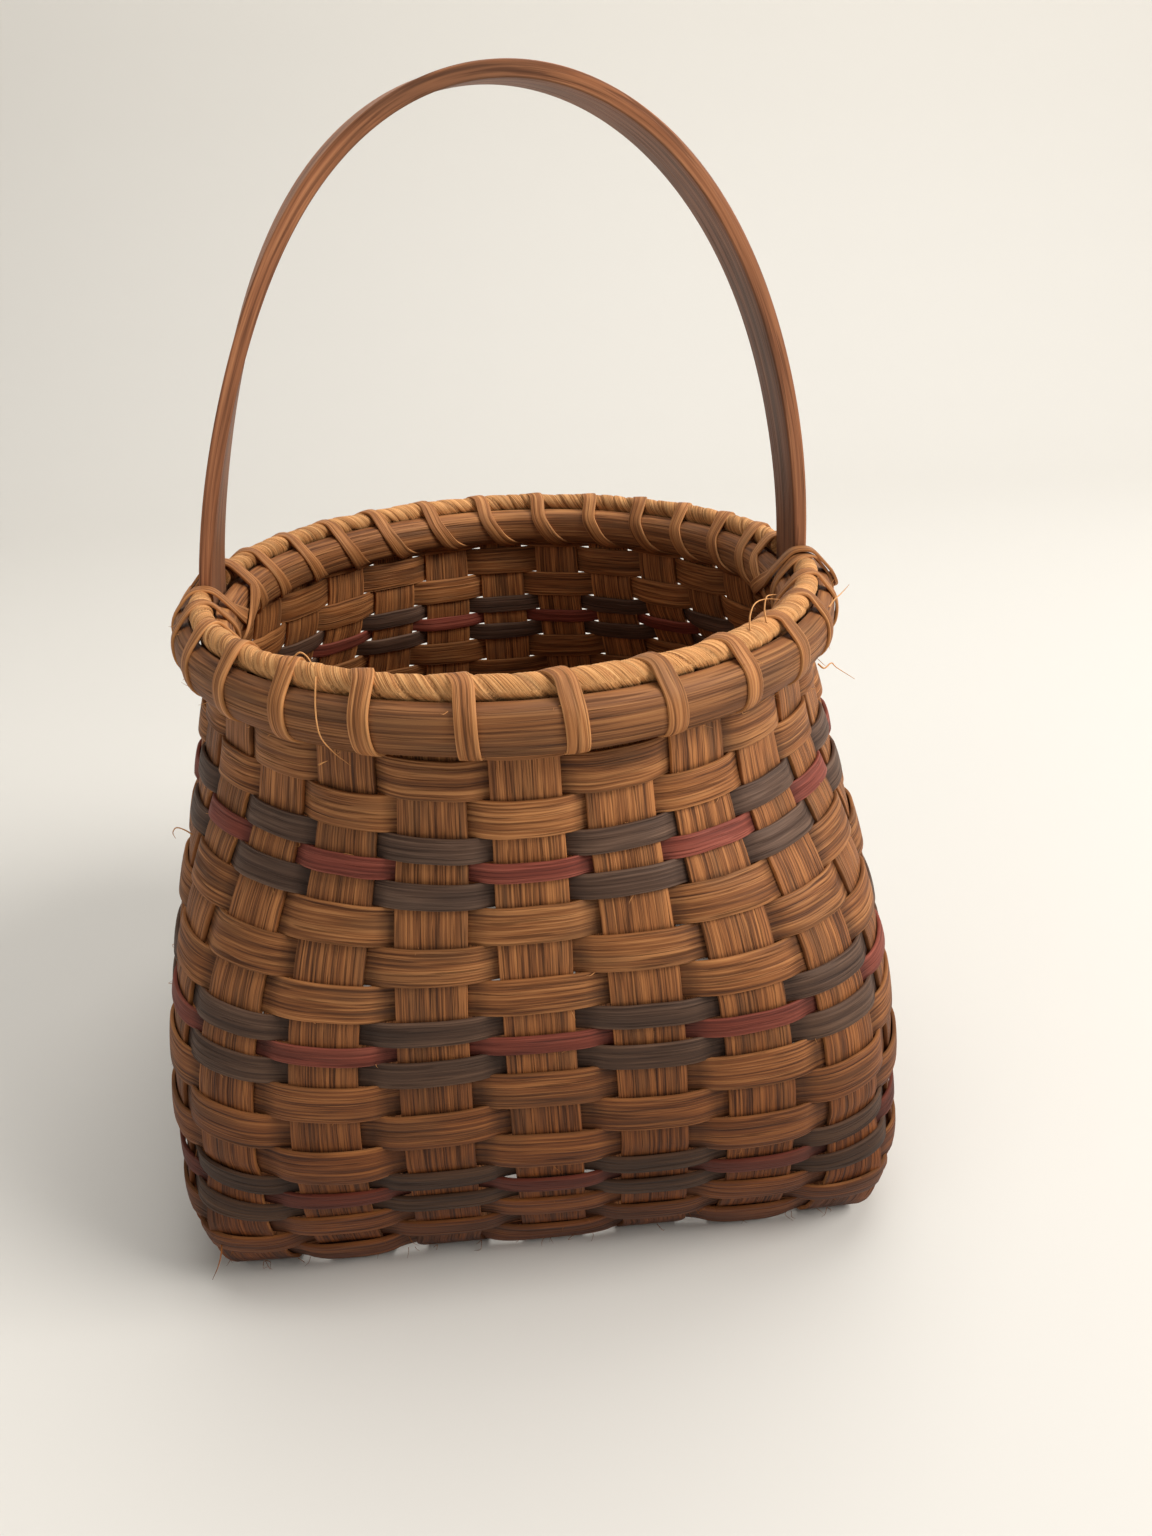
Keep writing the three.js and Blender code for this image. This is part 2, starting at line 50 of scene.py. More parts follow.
# %% [markdown]
# The sizes of the real basket, in metres. They are the ones that drive the solids: the body is
# nearly square at the foot and oval at the mouth, and it draws in from the foot to the mouth.
# %% Sizes of the basket
mm = 0.001

basket_height = 154 * mm
foot_turn_height = 42.3 * mm
foot_spread = (10.5 * mm, 18.3 * mm)
belly_draw = (3.6 * mm, 1.2 * mm)
neck_draw = (9.8 * mm, 5.4 * mm)
mouth_draw = (14.95 * mm, 5.75 * mm)

stake_width = 15.9 * mm
stake_top_width = 14.4 * mm
stake_thickness = 1.1 * mm
stake_top_drop = 2.4 * mm
base_pitch = 24 * mm
base_margin = 3.5 * mm
weaver_widths = {"tan": 8 * mm, "grey": 5.25 * mm, "red": 4 * mm}
weaver_thickness = 0.9 * mm
row_gap = 0.42 * mm
foot_row_gap = 1.1 * mm
fit_gap = 0.3 * mm

rim_height = 11.4 * mm
rim_thickness = 4.4 * mm
rim_spread = 1 * mm
rim_spread_reach = 40 * mm
outer_rim_seat = 3.3 * mm
inner_rim_seat = 2.6 * mm
filler_radius = 2.8 * mm
filler_lift = 1.7 * mm

lash_width = 4.6 * mm
lash_thickness = 0.7 * mm
lash_slot = 1.9 * mm
lash_slot_drop = 1 * mm

handle_width = 19.5 * mm
handle_thickness = 3.4 * mm
handle_rise = 121.8 * mm
handle_lean = 4.5 * mm
tail_thickness = 2.6 * mm
tail_tip_thickness = 2.2 * mm

side_pairs = 3
stakes_per_side = 2 * side_pairs + 1
stake_count = 4 * stakes_per_side
print("body", round(basket_height / mm), "mm high,", stake_count, "stakes")

# %% [markdown]
# The wall is one smooth surface. A place on it is a way down from the upper edge, called the
# fall, and a count of stakes from the middle of the front, counter-clockwise seen from above.
# The outline at each height is a superellipse, which goes from an oval at the mouth to a square
# with tight corners at the floor.
# %% The wall as a surface
level_shares = [1, 0.915, 0.776, 0.523, 0.285, 0.2]
square_start_share = 0.84
square_end_share = 0.28
mouth_power = 2
foot_power = 4.95
floor_power = 26
turn_full_share = 0.66

base_rise = stake_thickness + fit_gap / 2
base_wave = (stake_thickness + fit_gap) / 2
base_flat = side_pairs * base_pitch + stake_width / 2 + base_margin
foot_half = [base_flat + spread for spread in foot_spread]
mouth_half = [foot_half[axis] - mouth_draw[axis] for axis in range(2)]
wall_fall = basket_height - base_rise - foot_turn_height

curve = np.linspace(0, 1, 401)
curve_spread = (1 - curve) ** 2 + 2 * curve * (1 - curve) * turn_full_share
curve_height = (1 - curve) ** 2 + 2 * curve * (1 - curve) * (1 - turn_full_share)
curve_run = np.concatenate([[0], np.cumsum(np.hypot(
    np.diff(curve_spread) * sum(foot_spread) / 2, np.diff(curve_height) * foot_turn_height))])
turn_length = float(curve_run[-1])
print("wall", round(wall_fall / mm, 1), "mm to the curve,", round(turn_length / mm, 1), "along it")


def foot_curve(turn):
    """Share of the spread and of the height that is left at a share of the curve of the foot."""
    run = np.clip(turn, 0, 1) * turn_length
    return np.interp(run, curve_run, curve_spread), np.interp(run, curve_run, curve_height)


# %% [markdown]
# Three small helpers carry most of the shapes: an even mix of two values, a share that starts and
# ends softly, and a smooth line through a short table. With them the wall is known at any height.
# %% Level of the wall


def mix(a, b, share):
    return a + (b - a) * share


def ease(share):
    share = np.clip(share, 0, 1)
    return share * share * (3 - 2 * share)


def through(xs, ys, x):
    """Smooth curve through a short table whose xs go down, flat at both ends."""
    slopes = [(ys[k + 1] - ys[k - 1]) / (xs[k + 1] - xs[k - 1]) for k in range(1, len(xs) - 1)]
    slopes = [0, *slopes, 0]
    k = 0
    while k < len(xs) - 2 and x < xs[k + 1]:
        k += 1
    span = xs[k + 1] - xs[k]
    t = min(1, max(0, (x - xs[k]) / span))
    rise = t * t * (3 - 2 * t)
    bend_in = (t - 2 * t * t + t ** 3) * span * slopes[k]
    bend_out = (t ** 3 - t * t) * span * slopes[k + 1]
    return ys[k] * (1 - rise) + ys[k + 1] * rise + bend_in + bend_out


def wall_level(fall):
    """Half sizes, squareness and height of the wall at one fall."""
    if fall <= wall_fall:
        share = (basket_height - fall) / basket_height
        halves = []
        for axis in range(2):
            draws = [mouth_draw[axis], mouth_draw[axis], neck_draw[axis], belly_draw[axis], 0, 0]
            halves.append(foot_half[axis] - through(level_shares, draws, share))
        squared = (square_start_share - share) / (square_start_share - square_end_share)
        return halves, mix(mouth_power, foot_power, float(ease(squared))), basket_height - fall
    turn = min(1, (fall - wall_fall) / turn_length)
    spread_left, height_left = foot_curve(turn)
    halves = [base_flat + spread * spread_left for spread in foot_spread]
    power = mix(foot_power, floor_power, turn * turn)
    return halves, power, base_rise + foot_turn_height * height_left


halves, power, height = wall_level(wall_fall / 2)
print("wall", round(height / mm), "mm up:", [round(half / mm) for half in halves], "mm half")


# %% [markdown]
# The surface is worked out once on a fine grid, with its outward direction, and every strip then
# looks its places up in it. That keeps the strips, the stakes and the rims on the same wall.
# %% Table of the wall
table_step = 0.5 * mm
cells_per_stake = 40
outline_samples = 2881
outline_smoothing = 6
bottom_fall = wall_fall + turn_length
table_falls = np.arange(0, bottom_fall, table_step)
table_counts = np.arange(stake_count * cells_per_stake) / cells_per_stake


def outline(fall):
    """Points round the wall at even steps of way, and the length of the outline."""
    (across, deep), power, height = wall_level(fall)
    angle = np.linspace(-math.pi / 2, 1.5 * math.pi, outline_samples)
    c, s = np.cos(angle), np.sin(angle)
    x = across * np.sign(c) * np.abs(c) ** (2 / power)
    y = deep * np.sign(s) * np.abs(s) ** (2 / power)
    run = np.concatenate([[0], np.cumsum(np.hypot(np.diff(x), np.diff(y)))])
    wanted = table_counts * run[-1] / stake_count
    points = np.stack([np.interp(wanted, run, x), np.interp(wanted, run, y)], 1)
    return np.column_stack([points, np.full(len(wanted), height)]), run[-1]


def smooth_round(values, cells):
    """Rolling mean round a closed outline."""
    kernel = np.hanning(2 * cells + 1)
    kernel /= kernel.sum()
    padded = np.concatenate([values[-cells:], values, values[:cells]])
    return np.stack([np.convolve(padded[:, k], kernel, "valid") for k in range(3)], 1)


def unit(vectors):
    """The same directions, with a length of one."""
    return vectors / np.linalg.norm(vectors, axis=-1, keepdims=True)


levels = [outline(fall) for fall in table_falls]
wall_points = np.stack([smooth_round(points, outline_smoothing) for points, _ in levels])
outline_lengths = np.array([length for _, length in levels])
wall_along = np.roll(wall_points, -1, 1) - np.roll(wall_points, 1, 1)
wall_down = np.gradient(wall_points, axis=0)
wall_out = unit(np.cross(wall_down, wall_along))
print("wall grid:", wall_points.shape)


def look_up(table, fall, count):
    """Value of a wall table at any fall and stake count."""
    row = np.clip(np.asarray(fall) / table_step, 0, len(table_falls) - 1.001)
    column = np.asarray(count) * cells_per_stake
    row, column = np.broadcast_arrays(row, column)
    i = row.astype(int)
    j = np.floor(column).astype(int)
    a = (row - i)[..., None]
    b = (column - j)[..., None]
    j0 = j % len(table_counts)
    j1 = (j + 1) % len(table_counts)
    upper = table[i, j0] * (1 - b) + table[i, j1] * b
    lower = table[i + 1, j0] * (1 - b) + table[i + 1, j1] * b
    return upper * (1 - a) + lower * a


def outline_length(fall):
    return np.interp(fall, table_falls, outline_lengths)


# %% [markdown]
# The rows of weaving come down the wall in the order of the photo: three tan, then a narrow red
# one between two grey ones, again and again. Row 0 is hidden under the rims.
# %% Rows of weaving
row_pattern = ["tan", "tan", "tan", "grey", "red", "grey"]
last_row_share = 0.92
foot_row_share = 0.76
gap_fill_share = 0.47
low_row_share = 0.78
low_row_growth = 0.26 * mm
floor_clear = 0.9 * mm
lash_fall = rim_height + lash_slot_drop + lash_slot / 2
last_row_fall = wall_fall + last_row_share * turn_length

rows = []
next_top = lash_fall - lash_slot / 2 - weaver_widths["tan"]
while True:
    kind = row_pattern[len(rows) % len(row_pattern)]
    width = weaver_widths[kind] * (foot_row_share if next_top > wall_fall else 1)
    end = next_top + width
    if end > last_row_fall:
        break
    gap = lash_slot if not rows else row_gap
    if end > wall_fall:
        gap = foot_row_gap
    middle = (next_top + end) / 2
    rows.append({"kind": kind, "width": width, "middle": middle, "end": end, "gap": gap})
    next_top = end + gap
for above, row in zip([None, *rows], rows):
    row["high"] = row["middle"] - row["width"] / 2
    row["high"] -= gap_fill_share * above["gap"] if above else 0
    row["low"] = row["end"] + gap_fill_share * row["gap"]
    if row["end"] > low_row_share * wall_fall:
        row["high"] -= low_row_growth
        row["low"] += low_row_growth
rows[-1]["low"] = bottom_fall - floor_clear
last_wall_fall = rows[-1]["end"] + rows[-1]["gap"] / 2
tail_fall = rows[5]["end"] + rows[5]["gap"] / 2 - fit_gap
print("rows:", len(rows), "last ends", round(rows[-1]["end"] / mm, 1), "of",
      round(bottom_fall / mm, 1), "tail ends at", round(tail_fall / mm, 1), "mm")

# %% [markdown]
# A piece is a grid whose vertices are set onto its path. It could be bent by hand, but a strip that
# has to clear forty others follows a worked-out path better. The grid brings its own lengthwise
# and crosswise coordinates, which the grain follows. Flat strips get their thickness and rounded
# edges from modifiers, and round pieces are welded into a tube.
# %% From a grid to a strip
dice = np.random.default_rng(28)
weld_reach = 0.005 * mm
rounding_angle = math.radians(55)


def grid_piece(name, points):
    """Grid with one vertex at each of the given places, lengthwise first."""
    steps, across = points.shape[0] - 1, points.shape[1] - 1
    bpy.ops.object.select_all(action="DESELECT")
    bpy.ops.mesh.primitive_grid_add(x_subdivisions=steps, y_subdivisions=across, size=2)
    piece = bpy.context.object
    piece.name = name
    piece.data.name = name
    flat = np.empty(len(piece.data.vertices) * 3)
    piece.data.vertices.foreach_get("co", flat)
    flat = flat.reshape(-1, 3)
    i = np.rint((flat[:, 0] + 1) / 2 * steps).astype(int)
    j = np.rint((flat[:, 1] + 1) / 2 * across).astype(int)
    piece.data.vertices.foreach_set("co", points[i, j].ravel())
    piece.data.uv_layers[0].name = "grain"
    piece.data.update()
    return piece


def weld(piece, caps=False):
    """Joins the edges of a grid that meet, and closes open ends."""
    bpy.context.view_layer.objects.active = piece
    bpy.ops.object.mode_set(mode="EDIT")
    bpy.ops.mesh.select_all(action="SELECT")
    bpy.ops.mesh.remove_doubles(threshold=weld_reach)
    if caps:
        bpy.ops.mesh.select_all(action="SELECT")
        bpy.ops.mesh.fill_holes(sides=0)
    bpy.ops.mesh.select_all(action="SELECT")
    bpy.ops.mesh.normals_make_consistent(inside=False)
    bpy.ops.object.mode_set(mode="OBJECT")


def thicken(piece, thickness, rounding):
    """Gives a strip its thickness and rounded edges."""
    body = piece.modifiers.new("thickness", "SOLIDIFY")
    body.thickness = thickness
    body.offset = 0
    body.use_even_offset = True
    edge = piece.modifiers.new("rounding", "BEVEL")
    edge.width = rounding
    edge.segments = 2
    edge.limit_method = "ANGLE"
    edge.angle_limit = rounding_angle
    bpy.ops.object.modifier_apply(modifier="thickness")
    bpy.ops.object.modifier_apply(modifier="rounding")
    weld(piece)


# %% [markdown]
# The finishes read a few masks that are stored at each corner of each face: how much painted shade
# a place gets where it lies under a neighbour or in a crease, whether it looks into the basket, the
# tone of the strip it belongs to, and how near it is to an edge. They could be painted by hand, but
# a place on a strip is known, so they are worked out from it.
# %% Masks and coordinates for the finishes
grain_shelf = 4.0
hub_height = 40 * mm
smooth_angle = 50


def corners_of(piece):
    """Grid coordinates, place and face direction at each face corner."""
    mesh = piece.data
    uv = np.empty(len(mesh.loops) * 2)
    mesh.uv_layers["grain"].uv.foreach_get("vector", uv)
    index = np.empty(len(mesh.loops), int)
    mesh.loops.foreach_get("vertex_index", index)
    place = np.empty(len(mesh.vertices) * 3)
    mesh.vertices.foreach_get("co", place)
    normal = np.empty(len(mesh.polygons) * 3)
    mesh.polygons.foreach_get("normal", normal)
    sides = np.empty(len(mesh.polygons), int)
    mesh.polygons.foreach_get("loop_total", sides)
    place, normal = place.reshape(-1, 3), normal.reshape(-1, 3)
    return uv.reshape(-1, 2), place[index], np.repeat(normal, sides, axis=0)


def write_grain(piece, uv):
    piece.data.uv_layers["grain"].uv.foreach_set("vector", uv.astype(np.float32).ravel())


def write_mask(piece, name, values):
    mask = piece.data.attributes.new(name, "FLOAT", "CORNER")
    values = np.broadcast_to(values, len(piece.data.loops))
    mask.data.foreach_set("value", values.astype(np.float32))


def outwardness(place, normal):
    """How far a face looks out of the basket: 1 outside, -1 inside."""
    hub = np.zeros_like(place)
    hub[:, 2] = np.maximum(place[:, 2], hub_height)
    ray = place - hub
    ray /= np.maximum(np.linalg.norm(ray, axis=1, keepdims=True), 1e-9)
    return (ray * normal).sum(1)


def dress(piece, length, width, shade_mask, inside=0.0, tone=0.0, edge=None):
    """Stores the masks that the finishes read, and turns the grid coordinates into metres."""
    uv, _, _ = corners_of(piece)
    write_mask(piece, "shade_mask", shade_mask)
    write_mask(piece, "inside", inside)
    write_mask(piece, "tone", tone)
    write_mask(piece, "edge", np.abs(2 * uv[:, 1] - 1) if edge is None else edge)
    write_grain(piece, uv * (length, width) + dice.uniform(0, grain_shelf, 2))


def finish_piece(piece, node, material, angle=smooth_angle):
    """Smooth shading, the finish, and the solid that the piece stands for, if any."""
    piece.data.materials.clear()
    piece.data.materials.append(material)
    bpy.ops.object.select_all(action="DESELECT")
    piece.select_set(True)
    bpy.context.view_layer.objects.active = piece
    bpy.ops.object.shade_smooth_by_angle(angle=math.radians(angle))
    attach(piece, "root")
    if node:
        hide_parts(node)


# %% [markdown]
# Each finish starts from the same wood grain: slow bands of tone, fine lines half a millimetre
# apart, thin dark grooves where the splint split along its rings, thin pale ridges, and slow
# patches of colour, all drawn out along the strip. The group gives masks and a height.
# %% Grain
def feed(tree, socket, given):
    """A link from another socket, or a constant."""
    if isinstance(given, bpy.types.NodeSocket):
        tree.links.new(given, socket)
    else:
        socket.default_value = given


def maths(tree, operation, *inputs, clamp=False):
    node = tree.nodes.new("ShaderNodeMath")
    node.operation = operation
    node.use_clamp = clamp
    for socket, given in zip(node.inputs, inputs):
        feed(tree, socket, given)
    return node.outputs[0]


def rescale(tree, value, low, high, new_low=0.0, new_high=1.0, kind="SMOOTHSTEP"):
    node = tree.nodes.new("ShaderNodeMapRange")
    node.interpolation_type = kind
    for socket, given in zip(node.inputs, [value, low, high, new_low, new_high]):
        feed(tree, socket, given)
    return node.outputs[0]


def drawn_noise(tree, place, per_metre, detail, roughness, distortion=0.0):
    """Noise stretched along the grain: features per metre along, across and out."""
    stretch = tree.nodes.new("ShaderNodeVectorMath")
    stretch.operation = "MULTIPLY"
    feed(tree, stretch.inputs[0], place)
    feed(tree, stretch.inputs[1], per_metre)
    noise = tree.nodes.new("ShaderNodeTexNoise")
    feed(tree, noise.inputs["Vector"], stretch.outputs[0])
    feed(tree, noise.inputs["Scale"], 1.0)
    feed(tree, noise.inputs["Detail"], detail)
    feed(tree, noise.inputs["Roughness"], roughness)
    feed(tree, noise.inputs["Distortion"], distortion)
    return noise.outputs["Fac"]


def new_group(name, inputs, outputs):
    """Empty node group with the named sockets."""
    group = bpy.data.node_groups.new(name, "ShaderNodeTree")
    for label, kind, default in inputs:
        socket = group.interface.new_socket(label, in_out="INPUT", socket_type=kind)
        if default is not None:
            socket.default_value = default
    for label in outputs:
        group.interface.new_socket(label, in_out="OUTPUT", socket_type="NodeSocketFloat")
    given = group.nodes.new("NodeGroupInput").outputs
    return group, given, group.nodes.new("NodeGroupOutput").inputs


# Each mask: noise features per metre, detail, roughness and distortion, then its range.
grain_masks = {
    "Bands": ((12, 460, 1), 2.0, 0.5, 0.0, 0.28, 0.72, "LINEAR"),
    "Lines": ((34, 1900, 1), 3.0, 0.62, 0.4, 0.3, 0.7, "LINEAR"),
    "Grooves": ((38, 1500, 1), 2.0, 0.55, 0.3, 0.55, 0.64, "SMOOTHSTEP"),
    "Ridges": ((26, 1400, 1), 2.0, 0.55, 0.3, 0.56, 0.65, "SMOOTHSTEP"),
}
patches_per_metre = (34, 150, 1)


def make_grain_group():
    group, given, result = new_group(
        "drawn_grain",
        [
            ("Place", "NodeSocketVector", None),
            ("Coarseness", "NodeSocketFloat", 1.0),
        ],
        [*grain_masks, "Patches", "Height"],
    )
    scaled = group.nodes.new("ShaderNodeVectorMath")
    scaled.operation = "SCALE"
    feed(group, scaled.inputs[0], given["Place"])
    feed(group, scaled.inputs["Scale"], maths(group, "DIVIDE", 1.0, given["Coarseness"]))
    place = scaled.outputs[0]
    masks = {}
    for mask, (per_metre, detail, roughness, distortion, low, high, kind) in grain_masks.items():
        noise = drawn_noise(group, place, per_metre, detail, roughness, distortion)
        masks[mask] = rescale(group, noise, low, high, kind=kind)
    masks["Patches"] = drawn_noise(group, place, patches_per_metre, 2.5, 0.55)
    relief = maths(group, "MULTIPLY", masks["Ridges"], 0.35)
    relief = maths(group, "MULTIPLY_ADD", masks["Lines"], 0.4, relief)
    masks["Height"] = maths(group, "MULTIPLY_ADD", masks["Grooves"], -0.6, relief)
    for mask, value in masks.items():
        feed(group, result[mask], value)
    return group


grain_group = make_grain_group()
print("grain group:", len(grain_group.nodes), "nodes")

# %% [markdown]
# Painted shade and polish are worked out the same way on every strip. Painted shade darkens a strip
# where it goes under its neighbour or into a crease, a warm brown painted shade darkens the outside
# towards the foot, the inside gets less of both, and the raised parts are handled smooth. This
# group turns the stored masks into painted shade, painted shade at the foot and polish.
# %% Painted shade and polish
foot_shade_top = 118 * mm
foot_shade_full = 10 * mm
shade_mask_share = 0.5
foot_shade_share = 0.2


def make_age_group():
    group, given, result = new_group(
        "age",
        [
            ("Tuck", "NodeSocketFloat", 0.0),
            ("Inside", "NodeSocketFloat", 0.0),
            ("Height", "NodeSocketFloat", 0.1),
            ("Patches", "NodeSocketFloat", 0.5),
        ],
        ["Dirt", "Foot_shade", "Polish"],
    )
    # Painted shade towards the foot: the outside goes darker and browner lower down.
    low = rescale(group, given["Height"], foot_shade_top, foot_shade_full)
    # Painted shade where a strip goes under its neighbour or into a crease, less of it on the
    # inside.
    shade_mask_weight = maths(group, "MULTIPLY_ADD", given["Inside"], -0.6, 1.0)
    shaded = maths(group, "MULTIPLY", maths(group, "POWER", given["Tuck"], 1.4), shade_mask_weight)
    patchy = rescale(group, given["Patches"], 0.3, 0.75, 0.7, 1.15)
    shade_amount = maths(group, "MULTIPLY", shaded, shade_mask_share)
    shade_amount = maths(group, "MULTIPLY_ADD", low, foot_shade_share, shade_amount)
    outside = maths(group, "SUBTRACT", 1.0, given["Inside"])
    feed(group, result["Dirt"], maths(group, "MULTIPLY", shade_amount, patchy, clamp=True))
    feed(group, result["Foot_shade"], maths(group, "MULTIPLY", low, outside))
    feed(group, result["Polish"], maths(group, "SUBTRACT", 1.0, shade_amount, clamp=True))
    return group


age_group = make_age_group()
print("age group:", len(age_group.nodes), "nodes")

# %% [markdown]
# Colours are written as they look on the object, 0 to 255, and turned into the linear values that
# the shader wants. A stored mask comes into a material through an Attribute node, and a node group
# is placed in each material with that material's own values.
# %% Colours and masks in a material


def srgb(red, green, blue):
    channels = [value / 255 for value in (red, green, blue)]
    return (*[c / 12.92 if c <= 0.04045 else ((c + 0.055) / 1.055) ** 2.4 for c in channels], 1.0)


def attribute(tree, name):
    node = tree.nodes.new("ShaderNodeAttribute")
    node.attribute_type = "GEOMETRY"
    node.attribute_name = name
    return node.outputs["Fac"]


def blend_colour(tree, share, first, second, mode="MIX"):
    node = tree.nodes.new("ShaderNodeMix")
    node.data_type = "RGBA"
    node.blend_type = mode
    feed(tree, node.inputs["Factor"], share)
    feed(tree, node.inputs["A"], first)
    feed(tree, node.inputs["B"], second)
    return node.outputs["Result"]


def use_group(tree, group, **given):
    """Places a node group in a material, feeds its inputs and gives its outputs."""
    node = tree.nodes.new("ShaderNodeGroup")
    node.node_tree = group
    for label, value in given.items():
        feed(tree, node.inputs[label], value)
    return node.outputs


# %% [markdown]
# One recipe serves the splints, the thicker wood and the rope, because all of them are drawn-out
# fibre. The grain picks a tone between light and dark, worn patches go dull, ridges and rubbed
# edges go light, grooves go dark, painted light lifts the inside, a brown painted shade darkens the
# foot and painted shade under neighbours and in creases comes last. The grooves also catch light
# through a Bump.
# %% Recipe of a wood finish
line_share, band_share = 0.55, 0.45
ramp_ends = (0.1, 0.9)
worn_patches = (0.5, 0.68)
worn_share = 0.4
rubbed_start = 0.84
foot_shade_brown = srgb(178, 148, 98)
patch_swing = -0.5
inside_painted_light = 0.15
tone_reach = 0.12
polish_reach = 0.12
groove_roughness = 0.15
wood_specular = 0.28


def wood_finish(name, tones, roughness=0.62, coarseness=1.0, contrast=1.0, groove_depth=0.5,
                ridge_light=0.35, bump=0.14 * mm, edge_light=0.3):
    """Material of one kind of wood, from its light, middle, dark and dull tones and its painted
    shade colour.
    """
    light, middle, dark, dull, shade_colour = (srgb(*tone) for tone in tones)
    material = bpy.data.materials.new(name)
    material.use_nodes = True
    tree = material.node_tree
    shader = tree.nodes["Principled BSDF"]
    uv = tree.nodes.new("ShaderNodeUVMap")
    uv.uv_map = "grain"
    where = tree.nodes.new("ShaderNodeTexCoord")
    split = tree.nodes.new("ShaderNodeSeparateXYZ")
    feed(tree, split.inputs[0], where.outputs["Object"])
    inside = attribute(tree, "inside")
    grain = use_group(tree, grain_group, Place=uv.outputs[0], Coarseness=coarseness)
    age = use_group(tree, age_group, Tuck=attribute(tree, "shade_mask"), Inside=inside,
                    Height=split.outputs["Z"], Patches=grain["Patches"])

    tone = maths(tree, "MULTIPLY", grain["Lines"], line_share)
    tone = maths(tree, "MULTIPLY_ADD", grain["Bands"], band_share, tone)
    tone = maths(tree, "MULTIPLY_ADD", maths(tree, "SUBTRACT", tone, 0.5), contrast, 0.5)
    ramp = tree.nodes.new("ShaderNodeValToRGB")
    ramp.color_ramp.elements[0].position = ramp_ends[0]
    ramp.color_ramp.elements[0].color = dark
    ramp.color_ramp.elements[1].position = ramp_ends[1]
    ramp.color_ramp.elements[1].color = light
    ramp.color_ramp.elements.new(0.5).color = middle
    feed(tree, ramp.inputs[0], tone)
    worn = rescale(tree, grain["Patches"], *worn_patches, 0.0, worn_share)
    ridged = maths(tree, "MULTIPLY", grain["Ridges"], ridge_light)
    grooved = maths(tree, "MULTIPLY", grain["Grooves"], groove_depth)
    rubbed = rescale(tree, attribute(tree, "edge"), rubbed_start, 1.0, 0.0, edge_light)
    colour = ramp.outputs[0]
    for share, over in ((worn, dull), (ridged, light), (grooved, dark), (rubbed, light)):
        colour = blend_colour(tree, share, colour, over)
    shade = tree.nodes.new("ShaderNodeHueSaturation")
    swing = maths(tree, "SUBTRACT", grain["Patches"], 0.5)
    swing = maths(tree, "MULTIPLY_ADD", swing, patch_swing, 1.0)
    # Painted light: faces that look into the basket are made paler.
    swing = maths(tree, "MULTIPLY_ADD", inside, inside_painted_light, swing)
    swing = maths(tree, "MULTIPLY_ADD", attribute(tree, "tone"), tone_reach, swing)
    feed(tree, shade.inputs["Value"], swing)
    feed(tree, shade.inputs["Color"], colour)
    # Painted shade: a brown multiply darkens the outside towards the foot.
    colour = blend_colour(tree, age["Foot_shade"], shade.outputs[0], foot_shade_brown, "MULTIPLY")
    # Painted shade: the colour of painted shade goes in where the shade mask and the foot call for
    # it.
    colour = blend_colour(tree, age["Dirt"], colour, shade_colour)
    feed(tree, shader.inputs["Base Color"], colour)
    feed(tree, shader.inputs["Specular IOR Level"], wood_specular)

    rough = maths(tree, "MULTIPLY_ADD", age["Polish"], -polish_reach, roughness + polish_reach)
    rough = maths(tree, "MULTIPLY_ADD", grain["Grooves"], groove_roughness, rough)
    feed(tree, shader.inputs["Roughness"], rough)
    relief = tree.nodes.new("ShaderNodeBump")
    feed(tree, relief.inputs["Distance"], bump)
    feed(tree, relief.inputs["Strength"], 1.0)
    feed(tree, relief.inputs["Height"], grain["Height"])
    feed(tree, shader.inputs["Normal"], relief.outputs[0])
    return material


# %% [markdown]
# Tan oak, smoky grey and muted red splint, the rims, the rope, the lashing and the red-brown
# handle each have a light, a middle and a dark tone, a dull tone that shows in patches and a
# colour of painted shade. What differs beside the tones is how coarse and how deep the grain is.
# %% Finishes
# The last tone of each finish is the colour of its painted shade.
shade_brown = (38, 19, 7)
finish_tones = {
    "tan_splint": [(188, 128, 76), (138, 84, 43), (76, 40, 14), (120, 82, 50), shade_brown],
    "stake_splint": [(184, 122, 70), (140, 86, 46), (72, 40, 18), (118, 82, 52), shade_brown],
    "grey_splint": [(126, 98, 80), (86, 62, 48), (50, 33, 24), (78, 60, 50), (30, 17, 10)],
    "red_splint": [(168, 92, 74), (122, 56, 42), (74, 28, 20), (104, 58, 44), (38, 16, 10)],
    "rim_wood": [(172, 118, 70), (126, 78, 42), (66, 36, 15), (116, 82, 54), shade_brown],
    "lashing_splint": [(208, 148, 92), (160, 102, 56), (88, 50, 20), (138, 96, 60), shade_brown],
    "handle_wood": [(196, 134, 92), (158, 101, 67), (86, 50, 31), (136, 96, 71), (88, 72, 62)],
    "filler_rope": [(240, 184, 122), (204, 142, 84), (120, 70, 32), (182, 130, 80), shade_brown],
}
finish_traits = {
    "tan_splint": {"contrast": 1.25, "groove_depth": 0.6, "ridge_light": 0.6, "bump": 0.17 * mm},
    "stake_splint": {"contrast": 1.35, "groove_depth": 0.7, "ridge_light": 0.5,
                     "edge_light": 0.12, "coarseness": 0.85},
    "grey_splint": {"contrast": 0.85, "ridge_light": 0.3},
    "red_splint": {"contrast": 0.85, "ridge_light": 0.3},
    "rim_wood": {"coarseness": 1.25, "groove_depth": 0.55},
    "lashing_splint": {"coarseness": 1.1, "edge_light": 0.45},
    "handle_wood": {"roughness": 0.5, "coarseness": 1.3, "bump": 0.07 * mm},
    "filler_rope": {"roughness": 0.66, "coarseness": 0.8, "contrast": 1.1, "bump": 0.16 * mm},
}
finishes = {name: wood_finish(name, tones, **finish_traits[name])
            for name, tones in finish_tones.items()}
print("finishes:", ", ".join(finishes))

